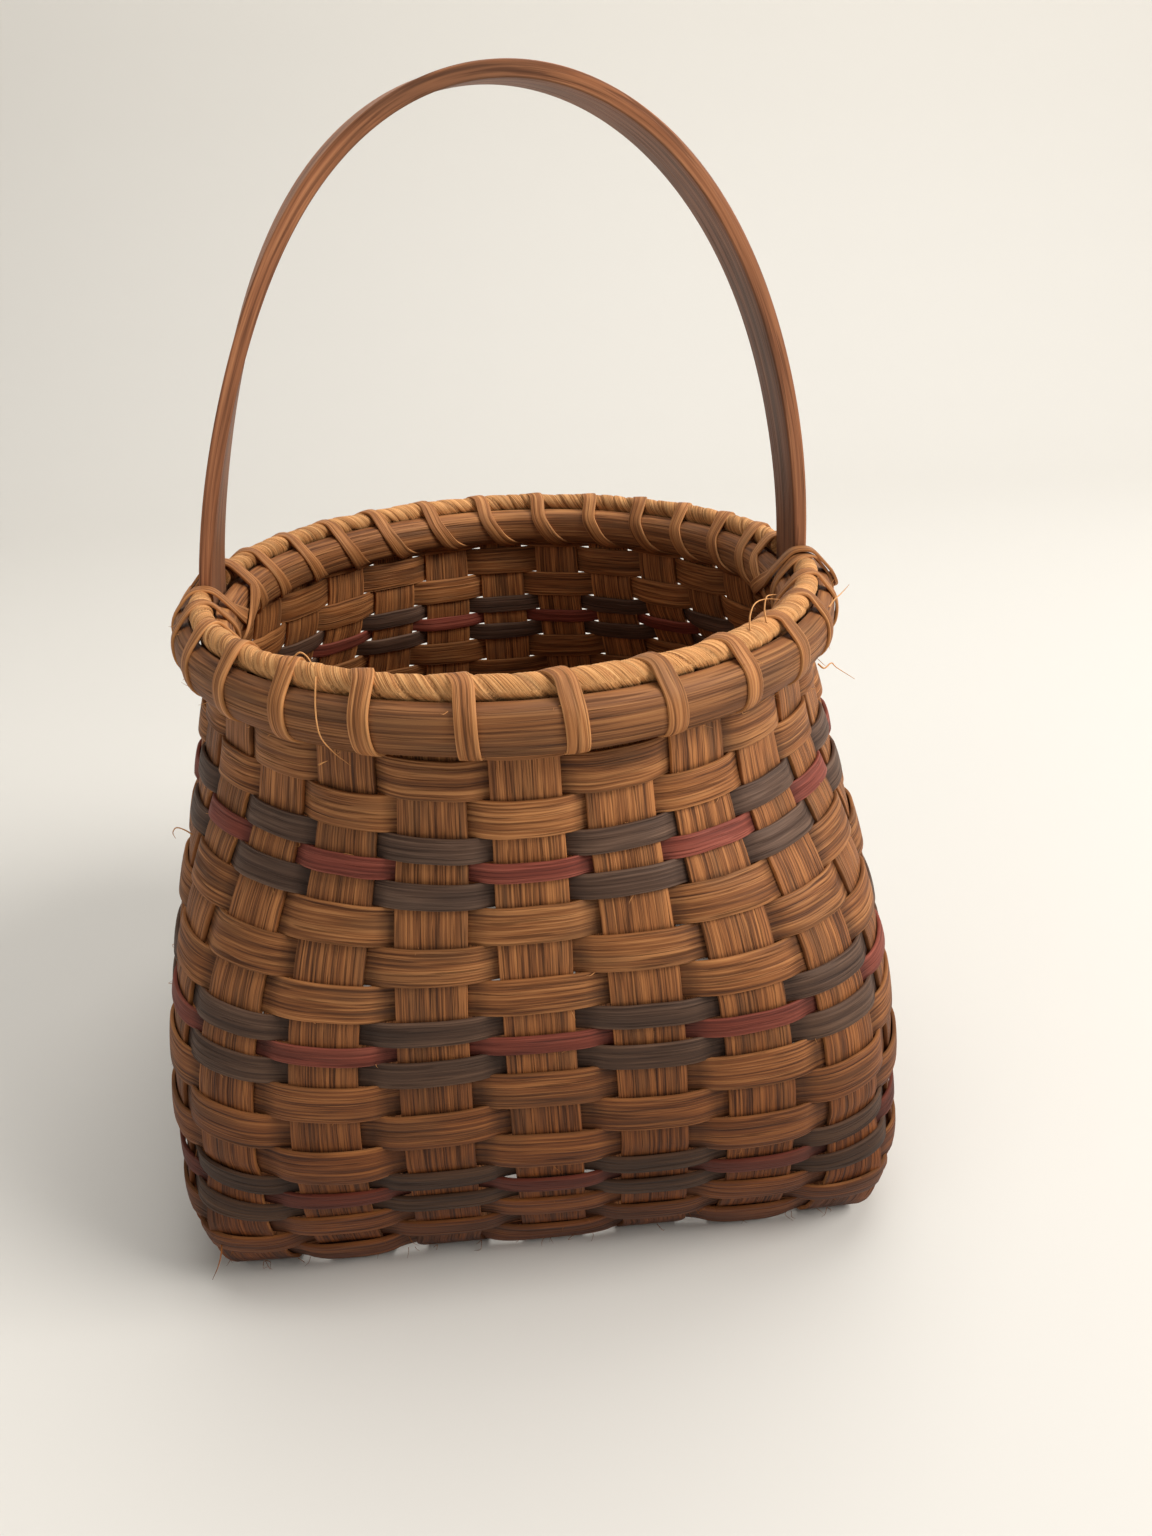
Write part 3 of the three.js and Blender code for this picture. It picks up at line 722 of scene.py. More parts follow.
# %% [markdown]
# A weaver is one hoop of splint. It bulges out over every second stake and in behind the others,
# and the next row does the opposite. On the real basket the splint is soaked and pulled tight, so
# it springs in a full curve from stake to stake, no row runs quite level, and its edges are
# ragged where the splint was torn from the log.
# %% Waves of a row
wander_top = 0.14 * mm
wander_foot = 0.9 * mm
wave_power = 3.2
stake_push = 0.2 * mm
weaver_bow = 0.12 * mm
ragged_edge = 0.13 * mm
slack = 0.1
foot_slack = 0.28
foot_bulge = 0.18
widest_core_share = 0.82


def under_handle(index):
    return index % (2 * stakes_per_side) == stakes_per_side


def core(index, fall):
    """Width and thickness of what a row bends round: a stake, or a tail of the handle."""
    width = mix(stake_top_width, stake_width, min(1, fall / (wall_fall / 2)))
    if not under_handle(index) or fall > tail_fall:
        return width, stake_thickness
    if fall < rim_height:
        share = fall / rim_height
        width = mix(handle_width, stake_top_width, share)
        return width, mix(handle_thickness, tail_thickness, share)
    share = (fall - rim_height) / (tail_fall - rim_height)
    return stake_top_width, mix(tail_thickness, tail_tip_thickness, share)


def wander(fall, count):
    """Slow rise and fall of a row, shared by its neighbours, more towards the foot."""
    depth = np.clip(fall / wall_fall, 0, 1)
    turn = 2 * math.pi * count / stake_count
    slow = 0.55 * np.sin(3 * turn + 0.8) + 0.45 * np.sin(7 * turn + 2.1 + 25 * fall)
    return mix(wander_top, wander_foot, depth ** 2) * (slow + 0.35 * np.sin(11 * turn + 60 * fall))


def bulge(number, fall, count):
    """How far out of the wall's middle line a row lies, and how exposed it is, from 1 to -1."""
    index = np.round(count).astype(int)
    q = np.clip(2 * np.abs(count - index), 0, 1)
    sizes = [core(k % stake_count, fall) for k in range(stake_count)]
    pitch = outline_length(fall) / stake_count
    reach = []
    for width, thickness in sizes:
        edge = min(widest_core_share, width / pitch)
        clear = (thickness + weaver_thickness) / 2 - stake_push / 2
        reach.append(clear / (1 - edge ** wave_power))
    reach = np.array(reach)[index % stake_count]
    side = np.where((index + number) % 2 == 0, 1, -1)
    crest = side * (1 - q ** wave_power)
    return reach * crest, crest


print("rows:", ", ".join(row["kind"] for row in rows))

# %% [markdown]
# A hoop starts where its neighbours don't, as a maker spreads the laps. It is laid out flat on the
# table of the wall first, with its ragged edges, and then lifted off the wall by its wave. The low
# rows are slacker, because the curve of the foot is harder to pull tight on.
# %% Hoops of weaving
steps_per_stake = 14
weaver_cells = 4
weaver_rounding = 0.2 * mm
weaver_lean = 0.1 * mm


def smooth_closed(values, passes):
    """Rolling mean round a closed row."""
    for _ in range(passes):
        values = (np.roll(values, 1, 0) + 2 * values + np.roll(values, -1, 0)) / 4
    return values


def rolled_noise(count, spread):
    """Closed row of smooth random numbers, about -1 to 1, that change over a few steps."""
    values = smooth_closed(dice.normal(0, 1, count), spread)
    return values / max(1e-9, np.abs(values).max())


def make_weaver(number, row):
    start = 2 * stakes_per_side + (number % 2)
    steps = stake_count * steps_per_stake
    count = start + np.arange(steps + 1) * stake_count / steps
    across = np.linspace(-0.5, 0.5, weaver_cells + 1)
    lift, crest = bulge(number, row["middle"], count)
    loose = ease((row["middle"] / wall_fall - 0.55) / 0.4)
    pull = rolled_noise(stake_count, 0)[np.round(count).astype(int) % stake_count]
    tension = 1 + mix(slack, foot_slack, loose) * pull
    lift = lift * np.where(crest > 0, tension + foot_bulge * loose, 1)
    ragged = [rolled_noise(steps, 3) for _ in range(2)]
    ragged = [np.append(noise, noise[0]) for noise in ragged]
    centre = (row["high"] + row["low"]) / 2 + wander(row["middle"], count)
    half = (row["low"] - row["high"]) / 2
    upper = centre - half - ragged_edge * ragged[0]
    lower = centre + half + ragged_edge * ragged[1]
    fall = mix(upper[:, None], lower[:, None], across + 0.5)
    ring = 2 * math.pi * count / stake_count
    lean = weaver_lean * np.sin(9 * ring + dice.uniform(0, 6))[:, None] * across * 2
    bow = -weaver_bow * crest[:, None] * (2 * across) ** 2
    way = count[:, None]
    off = (lift[:, None] + lean + bow)[..., None]
    points = look_up(wall_points, fall, way) + look_up(wall_out, fall, way) * off
    points[-1] = points[0]
    piece = grid_piece(f"splint_hoop_{number + 1:02d}", points)
    weld(piece)
    thicken(piece, weaver_thickness, weaver_rounding)
    uv, place, normal = corners_of(piece)
    _, crest = bulge(number, row["middle"], start + uv[:, 0] * stake_count)
    facing = outwardness(place, normal)
    shown = np.where(facing > 0, crest, -crest)
    length = float(outline_length(row["middle"]))
    # Painted shade: the weaver darkens where it goes behind a stake.
    shade_mask = 1 - ease((shown + 0.35) / 0.8)
    dress(piece, length, row["width"], shade_mask, ease(0.5 - facing), dice.uniform(-1, 1))
    slot = row["kind"] + "_splint"
    finish_piece(piece, f"weaver_{number + 1:02d}", finishes[slot])
    return piece


hoops = [make_weaver(number, row) for number, row in enumerate(rows)]
print("weaving:", len(hoops), "hoops,", sum(len(hoop.data.polygons) for hoop in hoops), "faces")

# %% [markdown]
# A stake is half of a strip: the strip comes down one wall, turns under, goes over and under the
# seven strips that cross it and climbs the opposite wall. It is a thick, coarse splint. Where a
# row presses on it, it gives a little.
# %% Stakes down the wall
path_step = 1.2 * mm
stake_cells = 6
stake_sway = 0.0125
# How far the painted shade beside a row reaches into the open window, and how it fades.
row_shade_reach = 0.3 * mm
row_shade_fade = 1.2 * mm


def pressed(index, fall):
    """How far the rows push a stake in or out of the wall's middle line."""
    falls = [row["middle"] for row in rows]
    push = [-stake_push if (index + number) % 2 == 0 else stake_push for number in range(len(rows))]
    return np.interp(fall, falls, push) * ease(fall / rim_height - 0.5)


def row_shade(index, fall):
    """Painted shade on a stake: 1 where a row hides its outside, 0 in the open windows after a
    short fade past the row's edge, and the same inside.
    """
    outer = np.zeros_like(fall)
    inner = np.zeros_like(fall)
    for number, row in enumerate(rows):
        reach = np.abs(fall - row["middle"]) - row["width"] / 2
        over = 1 - ease((reach + row_shade_reach) / row_shade_fade)
        if (index + number) % 2 == 0:
            outer = np.maximum(outer, over)
        else:
            inner = np.maximum(inner, over)
    return outer, inner


def wall_sections(index):
    """Cross sections of a stake down the wall, cupped to it, and flat by the end of it."""
    top = tail_fall + fit_gap if under_handle(index) else stake_top_drop
    cells = int((last_wall_fall - top) / path_step)
    fall = np.linspace(top, last_wall_fall, cells + 1)
    width = mix(stake_top_width, stake_width, np.clip(fall / (wall_fall / 2), 0, 1))
    phase = dice.uniform(0, 2 * math.pi, 2)
    width = width * (1 + 0.012 * np.sin(fall / (9 * mm) + phase[0]))
    across = np.linspace(-0.5, 0.5, stake_cells + 1)
    way = index + stake_sway * np.sin(fall / (22 * mm) + phase[1]) * ease(fall / (30 * mm) - 0.6)
    centre = look_up(wall_points, fall, way)
    out = look_up(wall_out, fall, way)
    along = unit(look_up(wall_along, fall, way))
    step = width[:, None] * across
    ways = way[:, None] + step * stake_count / outline_length(fall)[:, None]
    cupped = look_up(wall_points, fall[:, None], ways)
    flat = centre[:, None] + along[:, None] * step[..., None]
    share = ease((fall - 0.72 * last_wall_fall) / (0.28 * last_wall_fall))[:, None, None]
    points = mix(cupped, flat, share) + out[:, None] * pressed(index, fall)[:, None, None]
    return fall, points, along[-1]


print("stakes:", round(stake_top_width / mm, 1), "to", round(stake_width / mm, 1), "mm wide")

# %% [markdown]
# Under the last row the stake turns in to the base. The real strips crease a little there and then
# lie flat, each over and under the ones it crosses.
# %% Turn and base
turn_cells = 12
turn_start = (last_wall_fall - wall_fall) / turn_length


def turn_sections(centre, along, along_axis, out_axis, offset):
    """Cross sections round the curve of the foot, from the last row to the flat of the base."""
    side = centre @ along_axis
    spread_start, height_start = foot_curve(turn_start)
    outward = (centre @ out_axis - base_flat) / spread_start
    upward = (centre[2] - base_rise) / height_start
    across = np.linspace(-0.5, 0.5, stake_cells + 1) * stake_width
    sections = []
    for i in range(1, turn_cells + 1):
        share = i / turn_cells
        spread_left, height_left = foot_curve(mix(turn_start, 1, share))
        middle = along_axis * mix(side, offset, share ** 2)
        middle = middle + out_axis * (base_flat + outward * spread_left)
        middle = middle + np.array([0, 0, base_rise + upward * height_left])
        direction = unit(mix(along, along_axis, share ** 2))
        sections.append(middle + across[:, None] * direction)
    return np.array(sections)


def base_sections(place, front_back, along_axis, out_axis):
    """Cross sections over the base, over and under the strips that cross."""
    cells = int(2 * base_flat / path_step)
    run = np.linspace(base_flat, -base_flat, cells + 1)[1:-1]
    crossing = run / base_pitch
    index = np.clip(np.round(crossing), -side_pairs, side_pairs)
    q = np.clip(2 * np.abs(crossing - index), 0, 1)
    over = (np.abs(place + index) % 2 == 0) == front_back
    height = base_rise + np.where(over, 1, -1) * base_wave * (1 - q ** 6)
    across = np.linspace(-0.5, 0.5, stake_cells + 1) * stake_width
    middle = along_axis * place * base_pitch + out_axis * run[:, None]
    middle = middle + np.array([0, 0, 1]) * height[:, None]
    return middle[:, None] + across[:, None] * along_axis


print("base:", round(2 * base_flat / mm, 1), "mm flat, a strip every", round(base_pitch / mm, 1))

# %% [markdown]
# A whole strip is one wall, the base and the opposite wall in one line of cross sections, made
# smooth where they meet. Modelled as one piece, its grain runs right through, as on the real one.
# %% Strips
foot_soft_cells = 6
foot_soft_passes = 6
stake_rounding = 0.22 * mm


def line_length(line):
    return float(np.linalg.norm(np.diff(line, axis=0), axis=1).sum())


def soften(points, passes):
    """Rolling mean along a line, in place, which keeps its ends."""
    for _ in range(passes):
        points[1:-1] = (points[:-2] + 2 * points[1:-1] + points[2:]) / 4
    return points


def make_stake_strip(place, front_back):
    along_axis = np.array([1.0, 0, 0]) if front_back else np.array([0, 1.0, 0])
    out_axis = np.array([0, -1.0, 0]) if front_back else np.array([1.0, 0, 0])
    near_index = place if front_back else stakes_per_side + place
    far_index = near_index + 2 * (stakes_per_side - place)
    middle = stake_cells // 2
    near_fall, near, near_along = wall_sections(near_index)
    far_fall, far, far_along = wall_sections(far_index)
    offset = place * base_pitch
    near_turn = turn_sections(near[-1, middle], near_along, along_axis, out_axis, offset)
    far_turn = turn_sections(far[-1, middle], far_along, -along_axis, -out_axis, -offset)
    base = base_sections(place, front_back, along_axis, out_axis)
    points = np.concatenate([near, near_turn, base, far_turn[::-1, ::-1], far[::-1, ::-1]])
    low = slice(len(near) - foot_soft_cells, len(points) - len(far) + foot_soft_cells)
    soften(points[low], foot_soft_passes)
    front = "front_back" if front_back else "left_right"
    number = place + side_pairs + 1
    piece = grid_piece(f"splint_strip_{front}_{number}", points)
    thicken(piece, stake_thickness, stake_rounding)
    uv, spot, normal = corners_of(piece)
    station = uv[:, 0] * (len(points) - 1)
    under = np.full(len(points) - len(near) - len(far), bottom_fall)
    falls = np.concatenate([near_fall, under, far_fall[::-1]])
    fall = np.interp(station, np.arange(len(points)), falls)
    facing = outwardness(spot, normal)
    shade_mask = np.zeros(len(fall))
    near_half = station < len(points) / 2
    for index, half in ((near_index, near_half), (far_index, ~near_half)):
        outer, inner = row_shade(index, fall)
        shade_mask = np.where(half, np.where(facing > 0, outer, inner), shade_mask)
    # Painted shade: the stake darkens past the last row, round the foot and under the base.
    shade_mask = np.maximum(shade_mask, 0.7 * ease((fall - last_wall_fall) / (4 * mm)))
    length = line_length(points[:, middle])
    dress(piece, length, stake_width, shade_mask, ease(0.5 - facing), dice.uniform(-1, 1))
    finish_piece(piece, f"stake_{front}_{number}", finishes["stake_splint"])
    return piece


strips = []
for strip_place in range(-side_pairs, side_pairs + 1):
    strips.append(make_stake_strip(strip_place, True))
    strips.append(make_stake_strip(strip_place, False))
print("base strips:", len(strips), "with", 2 * len(strips), "stakes")

# %% [markdown]
# The mouth is where the rims, the rope, the lashing and the handle meet. A place there is a way
# round the oval, a step out from the wall's middle line and a height. The rims spring apart a
# little where they grip the handle.
# %% Places on the mouth
mouth_length = float(outline_lengths[0])
pitch = mouth_length / stake_count
right_leg = mouth_length / 4
left_leg = 3 * right_leg
filler_out = (outer_rim_seat - inner_rim_seat) / 2
filler_height = basket_height + filler_lift


def mouth_place(distance, out, height):
    """Point at a way round the mouth, a step out from the wall and a height."""
    distance, out, height = np.broadcast_arrays(distance, out, height)
    count = distance / pitch
    wrapped = distance % mouth_length
    away = np.minimum(np.abs(wrapped - right_leg), np.abs(wrapped - left_leg))
    swell = np.where(away < rim_spread_reach, (1 + np.cos(np.pi * away / rim_spread_reach)) / 2, 0)
    step = out + rim_spread * swell * np.tanh(out / (1.5 * mm))
    outward = look_up(wall_out, 0.5 * rim_height, count)
    points = look_up(wall_points, 0, count) + outward * step[..., None]
    points[..., 2] = height
    return points


def unevenness(distance, *waves):
    """Small hand-made swings along the mouth, each wave a height, a number of turns and a phase."""
    ring = 2 * math.pi * distance / mouth_length
    return sum(height * np.sin(turns * ring + phase) for height, turns, phase in waves)


print("mouth:", round(mouth_length / mm), "mm round")

# %% [markdown]
# Each rim is a half-round of oak bent to the oval, flat side to the wall. It is shaved by hand, so
# its height and thickness swing a little along the way.
# %% Half-round rims
rim_cells = 560
rim_around = 22
rim_flat_points = 6
rim_edge = 0.5 * mm
rim_girth = 22 * mm
rim_tones = {1: 0.2, -1: 2.2}


def half_round(seat, swell, grow):
    """Profile of a rim from its lower inner corner up the rounded face and back down the flat."""
    arc = np.linspace(-1, 1, rim_around - rim_flat_points + 1)
    half = rim_height / 2
    bellied = (1 - np.abs(arc) ** 2.5) ** (1 / 2.1)
    out = seat + rim_edge + (rim_thickness - rim_edge + swell) * bellied
    height = basket_height - half + (half + grow) * arc
    flat_height = np.linspace(basket_height, basket_height - rim_height, rim_flat_points)
    return np.append(out, np.full(rim_flat_points, seat)), np.append(height, flat_height)


def make_rim(name, node, seat, side):
    start = mouth_length / 2 if side > 0 else 0
    distance = start + np.arange(rim_cells + 1) / rim_cells * mouth_length
    phase = dice.uniform(0, 2 * math.pi, 4)
    swell = unevenness(distance, (0.12 * mm, 4, phase[0]), (0.08 * mm, 9, phase[1]))
    grow = unevenness(distance, (0.1 * mm, 5, phase[2]), (0.07 * mm, 13, phase[3]))
    points = []
    for at, fat, tall in zip(distance, swell, grow):
        out, height = half_round(seat, fat, tall)
        points.append(mouth_place(at, side * out, height))
    points = np.array(points)
    points = np.concatenate([points, points[:, :1]], axis=1)
    points[-1] = points[0]
    piece = grid_piece(name, points)
    weld(piece)
    _, place, normal = corners_of(piece)
    # Painted shade on the flat side against the wall and on the lower part of the rim.
    flat_side = ease((side * -outwardness(place, normal) - 0.3) / 0.4)
    low = ease((basket_height - 0.45 * rim_height - place[:, 2]) / (0.5 * rim_height))
    dress(piece, mouth_length, rim_girth, np.maximum(flat_side, 0.6 * low), tone=rim_tones[side])
    finish_piece(piece, node, finishes["rim_wood"])
    return piece


outer_rim = make_rim("half_round_rim_outer", "rim_outer", outer_rim_seat, 1)
inner_rim = make_rim("half_round_rim_inner", "rim_inner", inner_rim_seat, -1)
print("rims:", outer_rim.name, inner_rim.name)

# %% [markdown]
# The filler is a grass rope laid on the stake ends between the rims, from one leg of the handle
# to the other. Two bundles of grass are twisted together: a sharp uneven groove parts them, each
# bundle stands a little over the next, and the blades show as fine ribs along it.
# %% Rope filler
rope_pitch = 6.6 * mm
rope_strands = 2
rope_groove = 0.6 * mm
rope_shelf = 0.24 * mm
rope_blades = 8
blade_groove = 0.075 * mm
rope_around = 30
rope_step = 0.27 * mm
rope_girth = 2 * math.pi * filler_radius


def rope_relief(turn):
    """Groove between bundles, how far a bundle stands up, and the grooves of its blades."""
    groove = (1 - np.abs(np.sin(math.pi * turn))) ** 5
    shelf = turn - np.floor(turn) - 0.5
    blades = (1 - np.abs(np.sin(rope_blades * math.pi * turn))) ** 2
    return groove, shelf, blades


def make_rope(name, node, start):
    clear = handle_width / 2 + 2 * fit_gap
    begin, end = start + clear, start + mouth_length / 2 - clear
    distance = np.linspace(begin, end, int((end - begin) / rope_step) + 1)[:, None]
    angle = np.linspace(0, 2 * math.pi, rope_around + 1)
    uneven = 0.26 * np.sin(distance / (6.1 * mm)) + 0.12 * np.sin(distance / (2.7 * mm) + 1)
    turn = distance / rope_pitch + uneven + rope_strands * angle / (2 * math.pi)
    groove, shelf, blades = rope_relief(turn)
    depth = rope_groove * (0.7 + 0.3 * np.sin(distance / (8.3 * mm)))
    swell = 0.14 * mm * np.sin(distance / (5.3 * mm) + 0.6)
    swell += 0.08 * mm * np.sin(distance / (2.3 * mm))
    radius = filler_radius + 0.1 * mm + swell - depth * groove
    radius += rope_shelf * shelf - blade_groove * blades
    out = filler_out + 0.15 * mm * np.sin(distance / (13 * mm)) + radius * np.cos(angle)
    height = filler_height + radius * np.sin(angle)
    points = mouth_place(distance, filler_out, height)
    points += look_up(wall_out, 0.5 * rim_height, distance / pitch) * (out - filler_out)[..., None]
    points[:, -1] = points[:, 0]
    piece = grid_piece(name, points)
    weld(piece, caps=True)
    uv, _, _ = corners_of(piece)
    along, around = uv[:, 0] * (end - begin), uv[:, 1] * rope_girth
    lay = (distance / rope_pitch + uneven)[:, 0]
    where = np.interp(uv[:, 0], np.linspace(0, 1, len(distance)), lay)
    groove, _, blades = rope_relief(where + rope_strands * uv[:, 1])
    # Painted shade in the groove between the bundles and between the blades.
    dress(piece, end - begin, rope_girth, np.maximum(groove, 0.4 * blades), tone=0.2)
    tilt = rope_strands * rope_pitch / rope_girth
    write_grain(piece, np.column_stack([around, along + tilt * around]))
    finish_piece(piece, node, finishes["filler_rope"])
    return piece


ropes = [make_rope("rope_back", "rim_filler_back", right_leg),
         make_rope("rope_front", "rim_filler_front", left_leg)]
print("ropes:", len(ropes))

# %% [markdown]
# The lashing is one flat splint wound round rims and rope, one turn to each gap between stakes,
# clockwise seen from above. It comes out of its slot, goes nearly straight up the outer rim, over
# the rope, and slants down the inner rim to the next slot. The line it hugs is the outline of
# the whole bundle, found as the tight band round the rims and the rope.
# %% The tight band round the rims
band_samples = 240
band_off = lash_thickness / 2 + 0.08 * mm


def tight_band(lift):
    """Closed line round the rims and the rope, a given way off, from under the wall outwards."""
    points = []
    for seat, side in ((outer_rim_seat, 1), (inner_rim_seat, -1)):
        out, height = half_round(seat, 0, 0)
        points += list(zip(side * out, height))
    for angle in np.linspace(0, 2 * math.pi, 40):
        points.append((filler_out + filler_radius * math.cos(angle),
                       filler_height + filler_radius * math.sin(angle)))
    points = sorted(points)
    hull = []
    for ordered in (points, points[::-1]):
        chain = []
        for point in ordered:
            while len(chain) > 1:
                (ax, ay), (bx, by) = chain[-2], chain[-1]
                if (bx - ax) * (point[1] - ay) - (by - ay) * (point[0] - ax) > 0:
                    break
                chain.pop()
            chain.append(point)
        hull += chain[:-1]
    hull = np.array(hull)
    closed = np.concatenate([hull, hull[:1]])
    run = np.concatenate([[0], np.cumsum(np.hypot(*np.diff(closed, axis=0).T))])
    even = np.linspace(0, run[-1], band_samples + 1)[:-1]
    line = np.column_stack([np.interp(even, run, closed[:, k]) for k in range(2)])
    line = smooth_closed(line, 3)
    ahead = np.roll(line, -1, 0) - np.roll(line, 1, 0)
    line += lift * unit(np.column_stack([ahead[:, 1], -ahead[:, 0]]))
    under = np.where(line[:, 1] < basket_height - rim_height, np.abs(line[:, 0]), 1)
    return np.roll(line, -int(np.argmin(under)), 0)


band = tight_band(band_off)


def mark_of(out_side, height, after):
    """Share of the band where it passes a height on one side."""
    share = np.arange(len(band)) / len(band)
    miss = np.abs(band[:, 1] - height) + np.where(share > after, 0, 1)
    miss += np.where(np.sign(band[:, 0]) == out_side, 0, 1)
    return float(share[int(np.argmin(miss))])


low_mark = basket_height - rim_height + 2.2 * mm
high_mark = basket_height - 2.4 * mm
crown_mark = float(band[:, 1].max()) - 0.35 * mm
band_marks = {
    "slot": 0.0,
    "outer_low": mark_of(1, low_mark, 0),
    "outer_high": mark_of(1, high_mark, 0),
    "crown_out": mark_of(1, crown_mark, 0.1),
    "crown_in": mark_of(-1, crown_mark, 0.3),
    "inner_high": mark_of(-1, high_mark, 0.4),
    "inner_low": mark_of(-1, low_mark, 0.5),
    "end": 1.0,
}
print("band marks:", {key: round(value, 3) for key, value in band_marks.items()})

# %% [markdown]
# Each turn is told at the marks of the band: how far round the mouth it is there, and how wide.
# Between two stakes there is room for one strand, and beside a leg of the handle for two narrow
# ones, so the strand is squeezed there and slants past the leg on its way to the next slot.
# %% Turns of the lashing
turn_samples = 52
lash_shares = [0.02, 0.06, 0.2, 0.26, 0.52]
lash_shares_past_leg = [0.05, 0.12, 0.3, 0.38, 0.6]
lash_past_leg_share = 0.3
leg_squeeze = 0.75
stake_clear = stake_top_width / 2 + fit_gap
strand_width = (pitch - stake_top_width) / 2 - 2 * fit_gap
slot_width = min(lash_width, pitch - stake_top_width - 2 * fit_gap)
near_slot = stake_clear + strand_width / 2 + fit_gap / 3
far_slot = near_slot + strand_width + fit_gap
leg_clear = handle_width / 2 + lash_width / 2 + 2 * fit_gap


def wind(distances, widths, lifts, samples):
    """Stations of one turn: way round the mouth, step out, height and width along the band."""
    marks = list(band_marks.values())
    share = np.arange(samples) / samples
    distance = np.interp(share, marks, distances)
    width = np.interp(share, marks, widths)
    lift = np.interp(share, marks, lifts)
    at = share * len(band)
    i = at.astype(int)
    part = (at - i)[:, None]
    place = band[i] * (1 - part) + band[(i + 1) % len(band)] * part
    centre = np.array([filler_out, basket_height - rim_height / 2])
    return np.column_stack([distance, place + unit(place - centre) * lift[:, None], width])


def lash_stations():
    """All the turns of the lashing, with the long slant past each leg of the handle."""
    stations = []
    for turn in range(stake_count):
        slot = (turn + 0.5) * pitch
        following = (turn + 1.5) * pitch
        swing = dice.uniform(-0.45, 0.45) * mm
        full = lash_width * dice.uniform(0.95, 1.06)
        if under_handle(turn + 1):
            leg = (turn + 1) * pitch
            distances = [*[leg - far_slot] * 2, *[leg - leg_clear] * 4,
                         leg + lash_past_leg_share * pitch, following]
            widths = [strand_width, leg_squeeze * lash_width, *[full] * 5, slot_width]
        else:
            shares = lash_shares_past_leg if under_handle(turn) else lash_shares
            runs = [slot + share * pitch + swing for share in shares]
            after = (turn + 2) * pitch - far_slot if under_handle(turn + 2) else following
            distances = [slot, slot + 0.4 * swing, *runs, after]
            widths = [slot_width, *[full] * 6, slot_width]
        stations.append(wind(distances, widths, [0] * 8, turn_samples))
    return np.concatenate(stations)


print("slot", round(slot_width / mm, 1), "mm, strand at a leg", round(strand_width / mm, 1), "mm")

# %% [markdown]
# The strap itself is a flat strip carried along those turns, facing away from the middle of the
# bundle. A curve with a bevel could be wound round too, but it would twist, and a splint can't.
# %% Lashing
lash_cells = 4
lash_bow = 0.12 * mm
lash_rounding = 0.16 * mm


def make_strap(name, node, stations, wraps):
    """Closed flat strip through the stations, wound against the count of the stakes."""
    unrolled = stations.copy()
    drift_per_row = wraps * mouth_length / len(stations)
    unrolled[:, 0] -= np.arange(len(stations)) * drift_per_row
    unrolled = smooth_closed(unrolled, 4)
    unrolled[:, 0] += np.arange(len(stations)) * drift_per_row
    distance, out, height, width = unrolled.T
    middle = mouth_place(-distance, out, height)
    hub = mouth_place(-distance, filler_out, basket_height - rim_height / 2)
    run = unit(np.roll(middle, -1, 0) - np.roll(middle, 1, 0))
    across = smooth_closed(unit(np.cross(run, middle - hub)), 2)
    normal = np.cross(across, run)
    step = np.linspace(-0.5, 0.5, lash_cells + 1)
    bow = lash_bow * (1 - (2 * step) ** 2)
    points = middle[:, None] + across[:, None] * (step[:, None] * width[:, None, None])
    points += normal[:, None] * bow[:, None]
    points = np.concatenate([points, points[:1]])
    piece = grid_piece(name, points)
    weld(piece)
    thicken(piece, lash_thickness, lash_rounding)
    uv, _, _ = corners_of(piece)
    height_near = np.interp(uv[:, 0] * len(stations), np.arange(len(stations)), height)
    # Painted shade: the strap darkens below the rims, towards its slot.
    shade_mask = ease((basket_height - rim_height + 1.2 * mm - height_near) / (2 * mm))
    length = line_length(points[:, lash_cells // 2])
    dress(piece, length, lash_width, shade_mask, tone=dice.uniform(-0.5, 0.5))
    finish_piece(piece, node, finishes["lashing_splint"])
    return piece


lashing = make_strap("wound_lashing", "rim_lashing", lash_stations(), 1)
print("lashing:", len(lashing.data.polygons), "faces")

# %% [markdown]
# At each leg of the handle a second strand crosses the first in an X and holds the leg. It is a
# separate piece on the real basket, so it is one here, and it lies on top of the lashing.
# %% Cross ties
cross_layer = lash_thickness + 0.35 * mm
slot_layer = 0.1 * mm


def cross_stations(leg):
    """The second strand at a leg: it slants the other way on top of the lashing, so they cross."""
    slot, low, high = leg - near_slot, leg - stake_clear, leg + leg_clear
    squeezed = leg_squeeze * lash_width
    distances = [slot, low, *[high] * 4, low, slot]
    widths = [strand_width, squeezed, *[lash_width] * 4, squeezed, strand_width]
    lifts = [slot_layer, *[cross_layer] * 6, slot_layer]
    return wind(distances, widths, lifts, 2 * turn_samples)


cross_ties = [
    make_strap("cross_tie_right", "handle_cross_tie_right", cross_stations(left_leg), 0),
    make_strap("cross_tie_left", "handle_cross_tie_left", cross_stations(right_leg), 0),
]
print("cross ties:", len(cross_ties))

# %% [markdown]
# The handle is one bar of oak, steamed and bent to a hoop. Above the rims it has an even section
# with softened edges, bent by hand, so it swings a little off a true arch and twists a little on
# its left. Below the rims it is shaved to thin tails that follow the wall down the weave.
# %% Section and tails of the handle
tail_cells = 24
handle_edge = 0.55 * mm
tail_start_drop = 0.6 * mm


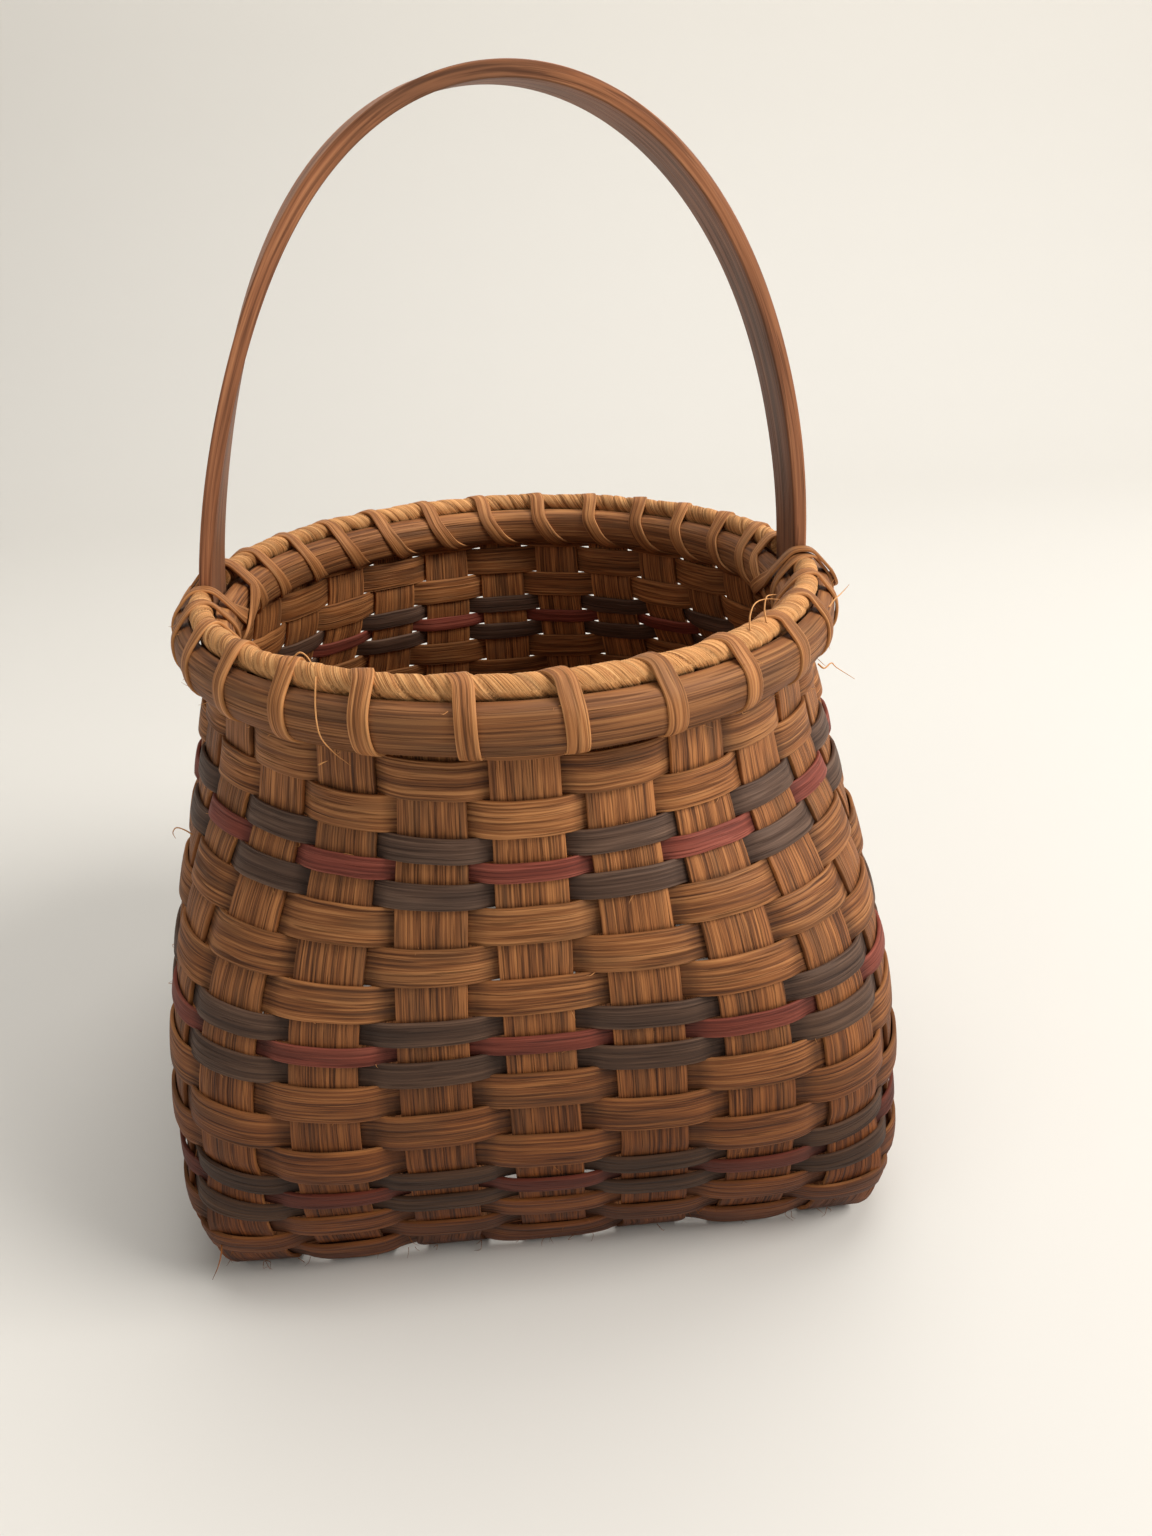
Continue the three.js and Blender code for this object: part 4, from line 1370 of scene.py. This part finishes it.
def bar_section(width, thickness):
    """Rectangle with small round edges, from the middle of the outer face round."""
    bend = np.linspace(0, math.pi / 2, 5)
    flat, tall = width / 2 - handle_edge, thickness / 2 - handle_edge
    swept, risen = handle_edge * np.sin(bend), handle_edge * np.cos(bend)
    along = [0, 0.5 * flat, *(flat + swept), *(flat + risen), 0.5 * flat, 0]
    out = [*[thickness / 2] * 2, *(tall + risen), *(-tall - swept), *[-thickness / 2] * 2]
    along, out = np.array(along), np.array(out)
    return np.concatenate([along, -along[-2::-1]]), np.concatenate([out, out[-2::-1]])


def tail_path(index):
    """Middle line, outward direction, width and thickness of a tail, from its tip to the rims."""
    fall = np.linspace(tail_fall, tail_start_drop, tail_cells)
    middle = look_up(wall_points, fall, index)
    out = look_up(wall_out, fall, index)
    sizes = np.array([core(index, value) for value in fall])
    return middle, out, sizes[:, 0], sizes[:, 1]


print("tails:", round((tail_fall - tail_start_drop) / mm, 1), "mm long")

# %% [markdown]
# The hoop is one line of sections: up the right tail, over the arch and down the left tail. The
# photo's arch was measured and its departures from a true one are kept as a few slow half waves.
# %% Bent hoop handle
handle_cells = 150
handle_grown_width = 21 * mm
handle_grown_thickness = 3.8 * mm
handle_swings = [-1.21 * mm, 0.65 * mm, -0.96 * mm, 0.57 * mm, -0.5 * mm]
handle_twists = [0.076, -0.125, 0.015, 0.02]
size_soft_passes = 6
line_soft_passes = 8


def hand_bent(angle, heights):
    """Slow departures of the hoop from a true arch, nothing at the legs, as half waves along it."""
    return sum(height * np.sin((k + 1) * angle) for k, height in enumerate(heights))


def make_handle():
    angle = np.linspace(0, math.pi, handle_cells + 1)
    rise = handle_rise - handle_thickness / 2
    c, s = np.cos(angle), np.sin(angle)
    arch = np.column_stack([mouth_half[0] * c + handle_lean * s, 0 * c, basket_height + rise * s])
    arch_out = unit(np.column_stack([rise * c, 0 * c, mouth_half[0] * s]))
    arch += arch_out * hand_bent(angle, handle_swings)[:, None]
    grown = ease(3 * s)
    arch_wide = mix(handle_width, handle_grown_width, grown)
    arch_thick = mix(handle_thickness, handle_grown_thickness, grown)
    right = tail_path(stakes_per_side)
    left = [values[::-1] for values in tail_path(3 * stakes_per_side)]
    parts = zip(right, (arch, arch_out, arch_wide, arch_thick), left)
    middle, out, wide, thick = (np.concatenate(part) for part in parts)
    wave = np.linspace(0, 1, len(middle))
    wide = wide * (1 + 0.012 * np.sin(17 * wave) + 0.008 * np.sin(41 * wave))
    wide, thick = soften(np.column_stack([wide, thick]), size_soft_passes).T
    middle, out = soften(middle, line_soft_passes), soften(out, line_soft_passes)
    run = np.gradient(middle, axis=0)
    out = unit(out - run * ((out * run).sum(1) / (run * run).sum(1))[:, None])
    along = unit(np.cross(out, run))
    twist = np.zeros((len(middle), 1))
    twist[tail_cells:-tail_cells, 0] = hand_bent(angle, handle_twists)
    c, s = np.cos(twist), np.sin(twist)
    out, along = out * c + along * s, along * c - out * s
    points = []
    for centre, side, face, width, thickness in zip(middle, along, out, wide, thick):
        step_along, step_out = bar_section(width, thickness)
        points.append(centre + side * step_along[:, None] + face * step_out[:, None])
    points = np.array(points)
    piece = grid_piece("bent_hoop_handle", points)
    weld(piece, caps=True)
    uv, _, _ = corners_of(piece)
    step_along, step_out = bar_section(handle_width, handle_thickness)
    around = np.concatenate([[0], np.cumsum(np.hypot(np.diff(step_along), np.diff(step_out)))])
    section = np.linspace(0, 1, len(around))
    # Painted shade on the underside of the arch and the inner face of the tails.
    under = ease((-np.interp(uv[:, 1], section, step_out) / handle_thickness - 0.3) / 0.15)
    uv[:, 1] = np.interp(uv[:, 1], section, around / around[-1])
    write_grain(piece, uv)
    dress(piece, line_length(middle), float(around[-1]), 0.85 * under, edge=0.8)
    finish_piece(piece, "handle_hoop", finishes["handle_wood"])
    return piece


handle = make_handle()
print("handle:", len(handle.data.polygons), "faces")

# %% [markdown]
# Splint frays. Long fibres have sprung up from the rope and the rims where the photo shows them,
# and short hairs stand off the lower edge of the outer rim, the lowest row and the edges of the
# weaving. Each is a thin round thread that ends in a point, a little lighter than the lashing.
# %% Threads and hairs
fibre_thickness = 0.42 * mm
hair_thickness = 0.17 * mm
fibre_sides = 6
hair_floor = 0.25 * mm
sprung_fibres = [
    [(50.3, -77.3, 158.4), (50.9, -74.3, 160.6), (52.6, -71.1, 162.3), (55.5, -68.1, 162.4),
     (60.3, -62.6, 160.6)],
    [(54.8, -73.2, 158.6), (55, -70.3, 160.6), (56, -67.4, 162.5), (57.7, -64.6, 162.3),
     (59.6, -62.2, 161.6)],
    [(75.6, -49.7, 154.3), (77.7, -47.5, 155.6), (79.8, -45.3, 156.2), (82.4, -42.9, 157.6)],
    [(68.1, -68.4, 146.7), (69.6, -68.2, 145.5), (71.5, -67.2, 146.3), (72.9, -66.9, 145),
     (77.4, -66.5, 141.8)],
    [(-46.9, -81.5, 158.4), (-44.4, -82.1, 161.1), (-42.7, -83, 160.8), (-41.3, -84.6, 158.9),
     (-40.8, -86.2, 157.4)],
    [(-40.8, -86.2, 157.2), (-41, -90.6, 151.9), (-40.4, -93.3, 147.2), (-38.2, -93.4, 143.5),
     (-35.5, -90.5, 139)],
    [(-42.2, -88.6, 138.9), (-41.2, -89.4, 139.6), (-40, -90.2, 140.3)],
    [(-81, -91.9, 15.8), (-80.9, -93.4, 14.4), (-81.8, -94.7, 11.6), (-83.4, -96.2, 8.8)],
    [(-82, -48.6, 106), (-84, -47.8, 107.1), (-86, -47.2, 107.5), (-87, -47.4, 106.3),
     (-86.5, -47.7, 104.8)],
]


def rounded_line(places, samples):
    """Smooth curve through a few places, at even shares between them."""
    places = np.array(places, float)
    around = np.vstack([2 * places[0] - places[1], places, 2 * places[-1] - places[-2]])
    line = []
    for k in range(len(places) - 1):
        a, b, c, d = around[k:k + 4]
        t = np.linspace(0, 1, samples, endpoint=False)[:, None]
        bend = (2 * a - 5 * b + 4 * c - d) * t ** 2 + (3 * b - a - 3 * c + d) * t ** 3
        line.append(0.5 * (2 * b + (c - a) * t + bend))
    return np.vstack([*line, places[-1:]])


def thread_rings(line, thickness):
    """Rings of points round a line, which thin to a point at its end."""
    run = unit(np.gradient(line, axis=0))
    side = unit(np.cross(run, [0.31, 0.52, 0.79]))
    other = np.cross(run, side)
    angle = np.linspace(0, 2 * math.pi, fibre_sides + 1)[:, None, None]
    taper = (1 - 0.75 * np.linspace(0, 1, len(line)) ** 1.5)[:, None] * thickness / 2
    rings = line + taper * (np.cos(angle) * side + np.sin(angle) * other)
    return rings.transpose(1, 0, 2)


def hair_line(root, out, along):
    """A short bent hair from a place on an edge, mostly outward and a little down."""
    length = dice.uniform(1.4, 4.2) * mm
    lean = dice.uniform(-1, 1)
    rise = np.array([0, 0, dice.uniform(-0.75, 0.25)])
    tip = root + length * (0.55 * out + lean * along + rise) / (1 + abs(lean) / 2)
    middle = (root + tip) / 2 + 0.25 * length * dice.uniform(-1, 1) * out
    middle += 0.15 * length * dice.normal(0, 1, 3)
    line = rounded_line([root, middle, tip], 4)
    line[:, 2] = np.maximum(line[:, 2], hair_floor)
    return line


print("sprung fibres:", len(sprung_fibres))

# %% [markdown]
# The hairs are scattered along the edges where the photo has them, thick along the foot and the
# rim and thin in the weave. A particle system could strew them, but it can't be exported, so each
# is a small tube and all are joined into one piece.
# %% Loose fibres
foot_hairs, low_hairs, row_hairs, rim_hairs = 120, 30, 7, 56


def make_loose_fibres():
    """Long fibres from the rope and the rims, and short hairs along the edges, in one piece."""
    threads = [(rounded_line(places, 6) * mm, fibre_thickness) for places in sprung_fibres]
    foot, low = rows[-1]["low"] - 1.5 * mm, rows[-2]["low"]
    edges = [(foot, 0.9 * mm, foot_hairs), (low, 0.9 * mm, low_hairs)]
    edges += [(row["low"], 0.7 * mm, row_hairs) for row in rows[1:-2]]
    for fall, off, hairs in edges:
        for count in dice.uniform(0, stake_count, hairs):
            out = look_up(wall_out, fall, count)
            along = unit(look_up(wall_along, fall, count))
            root = look_up(wall_points, fall, count) + out * off
            threads.append((hair_line(root, out, along), hair_thickness))
    for distance in dice.uniform(0, mouth_length, rim_hairs):
        low = dice.uniform(0, 1) < 0.6
        height = basket_height - rim_height + 0.4 * mm if low else basket_height - 0.6 * mm
        step = outer_rim_seat + (0.62 if low else 0.75) * rim_thickness
        root = mouth_place(distance, step, height)
        out = look_up(wall_out, 0.5 * rim_height, distance / pitch)
        along = unit(look_up(wall_along, 0, distance / pitch))
        threads.append((hair_line(root, out, along), hair_thickness))
    pieces = []
    for line, thickness in threads:
        piece = grid_piece("loose_fibre", thread_rings(line, thickness))
        weld(piece, caps=True)
        pieces.append(piece)
    bpy.ops.object.select_all(action="DESELECT")
    for piece in pieces:
        piece.select_set(True)
    bpy.context.view_layer.objects.active = pieces[0]
    bpy.ops.object.join()
    piece = bpy.context.object
    piece.name = "loose_fibres"
    piece.data.name = "loose_fibres"
    dress(piece, 12 * mm, 0.6 * mm, 0.0, tone=1.0)
    finish_piece(piece, None, finishes["filler_rope"], 60)
    return piece


loose_fibres = make_loose_fibres()
print("loose fibres:", len(loose_fibres.data.polygons), "faces")

# %% [markdown]
# The basket stands on a plain pale floor that curves up behind it, so that no edge or corner shows
# in any view. It lies a hair below zero, because the foot of the basket stands on zero itself.
# %% Floor
floor_reach = 3.0
floor_rise_start = 0.9
floor_bend = 0.5
floor_drop = 0.2 * mm


def make_floor():
    """Grid bent up behind the basket by an arc and then straight on."""
    bpy.ops.object.select_all(action="DESELECT")
    bpy.ops.mesh.primitive_grid_add(x_subdivisions=24, y_subdivisions=64, size=2)
    floor = bpy.context.object
    floor.name = "pale_floor"
    flat = np.empty(len(floor.data.vertices) * 3)
    floor.data.vertices.foreach_get("co", flat)
    flat = flat.reshape(-1, 3)
    run = flat[:, 1] * floor_reach
    arc = np.clip((run - floor_rise_start) / floor_bend, 0, math.pi / 2)
    past = np.maximum(run - floor_rise_start - floor_bend * math.pi / 2, 0)
    y = np.minimum(run, floor_rise_start) + floor_bend * np.sin(arc)
    z = floor_bend * (1 - np.cos(arc)) + past - floor_drop
    bent = np.column_stack([flat[:, 0] * floor_reach, y, z])
    floor.data.vertices.foreach_set("co", bent.ravel())
    floor.data.update()
    bpy.ops.object.shade_smooth()
    material = bpy.data.materials.new("pale_floor")
    material.use_nodes = True
    shader = material.node_tree.nodes["Principled BSDF"]
    shader.inputs["Base Color"].default_value = srgb(220, 217, 211)
    shader.inputs["Roughness"].default_value = 0.8
    floor.data.materials.append(material)


make_floor()
print("floor:", 2 * floor_reach, "m wide")

# %% [markdown]
# The light is soft and plain: a large window lamp from the right, as in the photo, a weak one from
# the left, one overhead and an even pale room. Each lamp looks at the middle of the body.
# %% Lights
aim = Vector((0, 0, 0.1))
lights = {
    "window": ((1.6, -0.62, 1.4), 1.1, 44, (1, 0.97, 0.93)),
    "room": ((-1.5, -1.2, 1.0), 1.4, 4.5, (1, 0.98, 0.96)),
    "ceiling": ((0.2, 0.3, 2.0), 1.4, 20, (1, 0.99, 0.97)),
}
room_colour = srgb(236, 234, 230)
room_strength = 0.32

for name, (place, size, power, colour) in lights.items():
    bpy.ops.object.light_add(type="AREA", location=place)
    lamp = bpy.context.object
    lamp.name = name
    lamp.data.size = size
    lamp.data.energy = power
    lamp.data.color = colour
    lamp.rotation_euler = (lamp.location - aim).to_track_quat("Z", "Y").to_euler()

world = bpy.data.worlds.new("soft_room")
world.use_nodes = True
world.node_tree.nodes["Background"].inputs[0].default_value = room_colour
world.node_tree.nodes["Background"].inputs[1].default_value = room_strength
bpy.context.scene.world = world
bpy.context.scene.view_settings.view_transform = "Standard"
print("lamps:", ", ".join(lights))

# %% [markdown]
# The camera stands where the photo was taken: a little above, close, and slightly rolled.
# %% Camera
camera_place = (-4.07 * mm, -313.7 * mm, 232.2 * mm)
camera_heading = math.radians(-3.83)
camera_tilt = math.radians(66.5)
camera_roll = math.radians(-2.48)
camera_sensor = 36
camera_lens = 36.41
camera_near = 0.01
bpy.ops.object.camera_add(location=camera_place)
camera = bpy.context.object
turned = Euler((camera_tilt, 0, camera_heading)).to_matrix()
turned = turned @ Euler((0, 0, camera_roll)).to_matrix()
camera.rotation_euler = turned.to_euler()
camera.data.sensor_fit = "HORIZONTAL"
camera.data.sensor_width = camera_sensor
camera.data.lens = camera_lens
camera.data.clip_start = camera_near
bpy.context.scene.camera = camera
print("camera:", [round(v / mm) for v in camera_place], "mm")
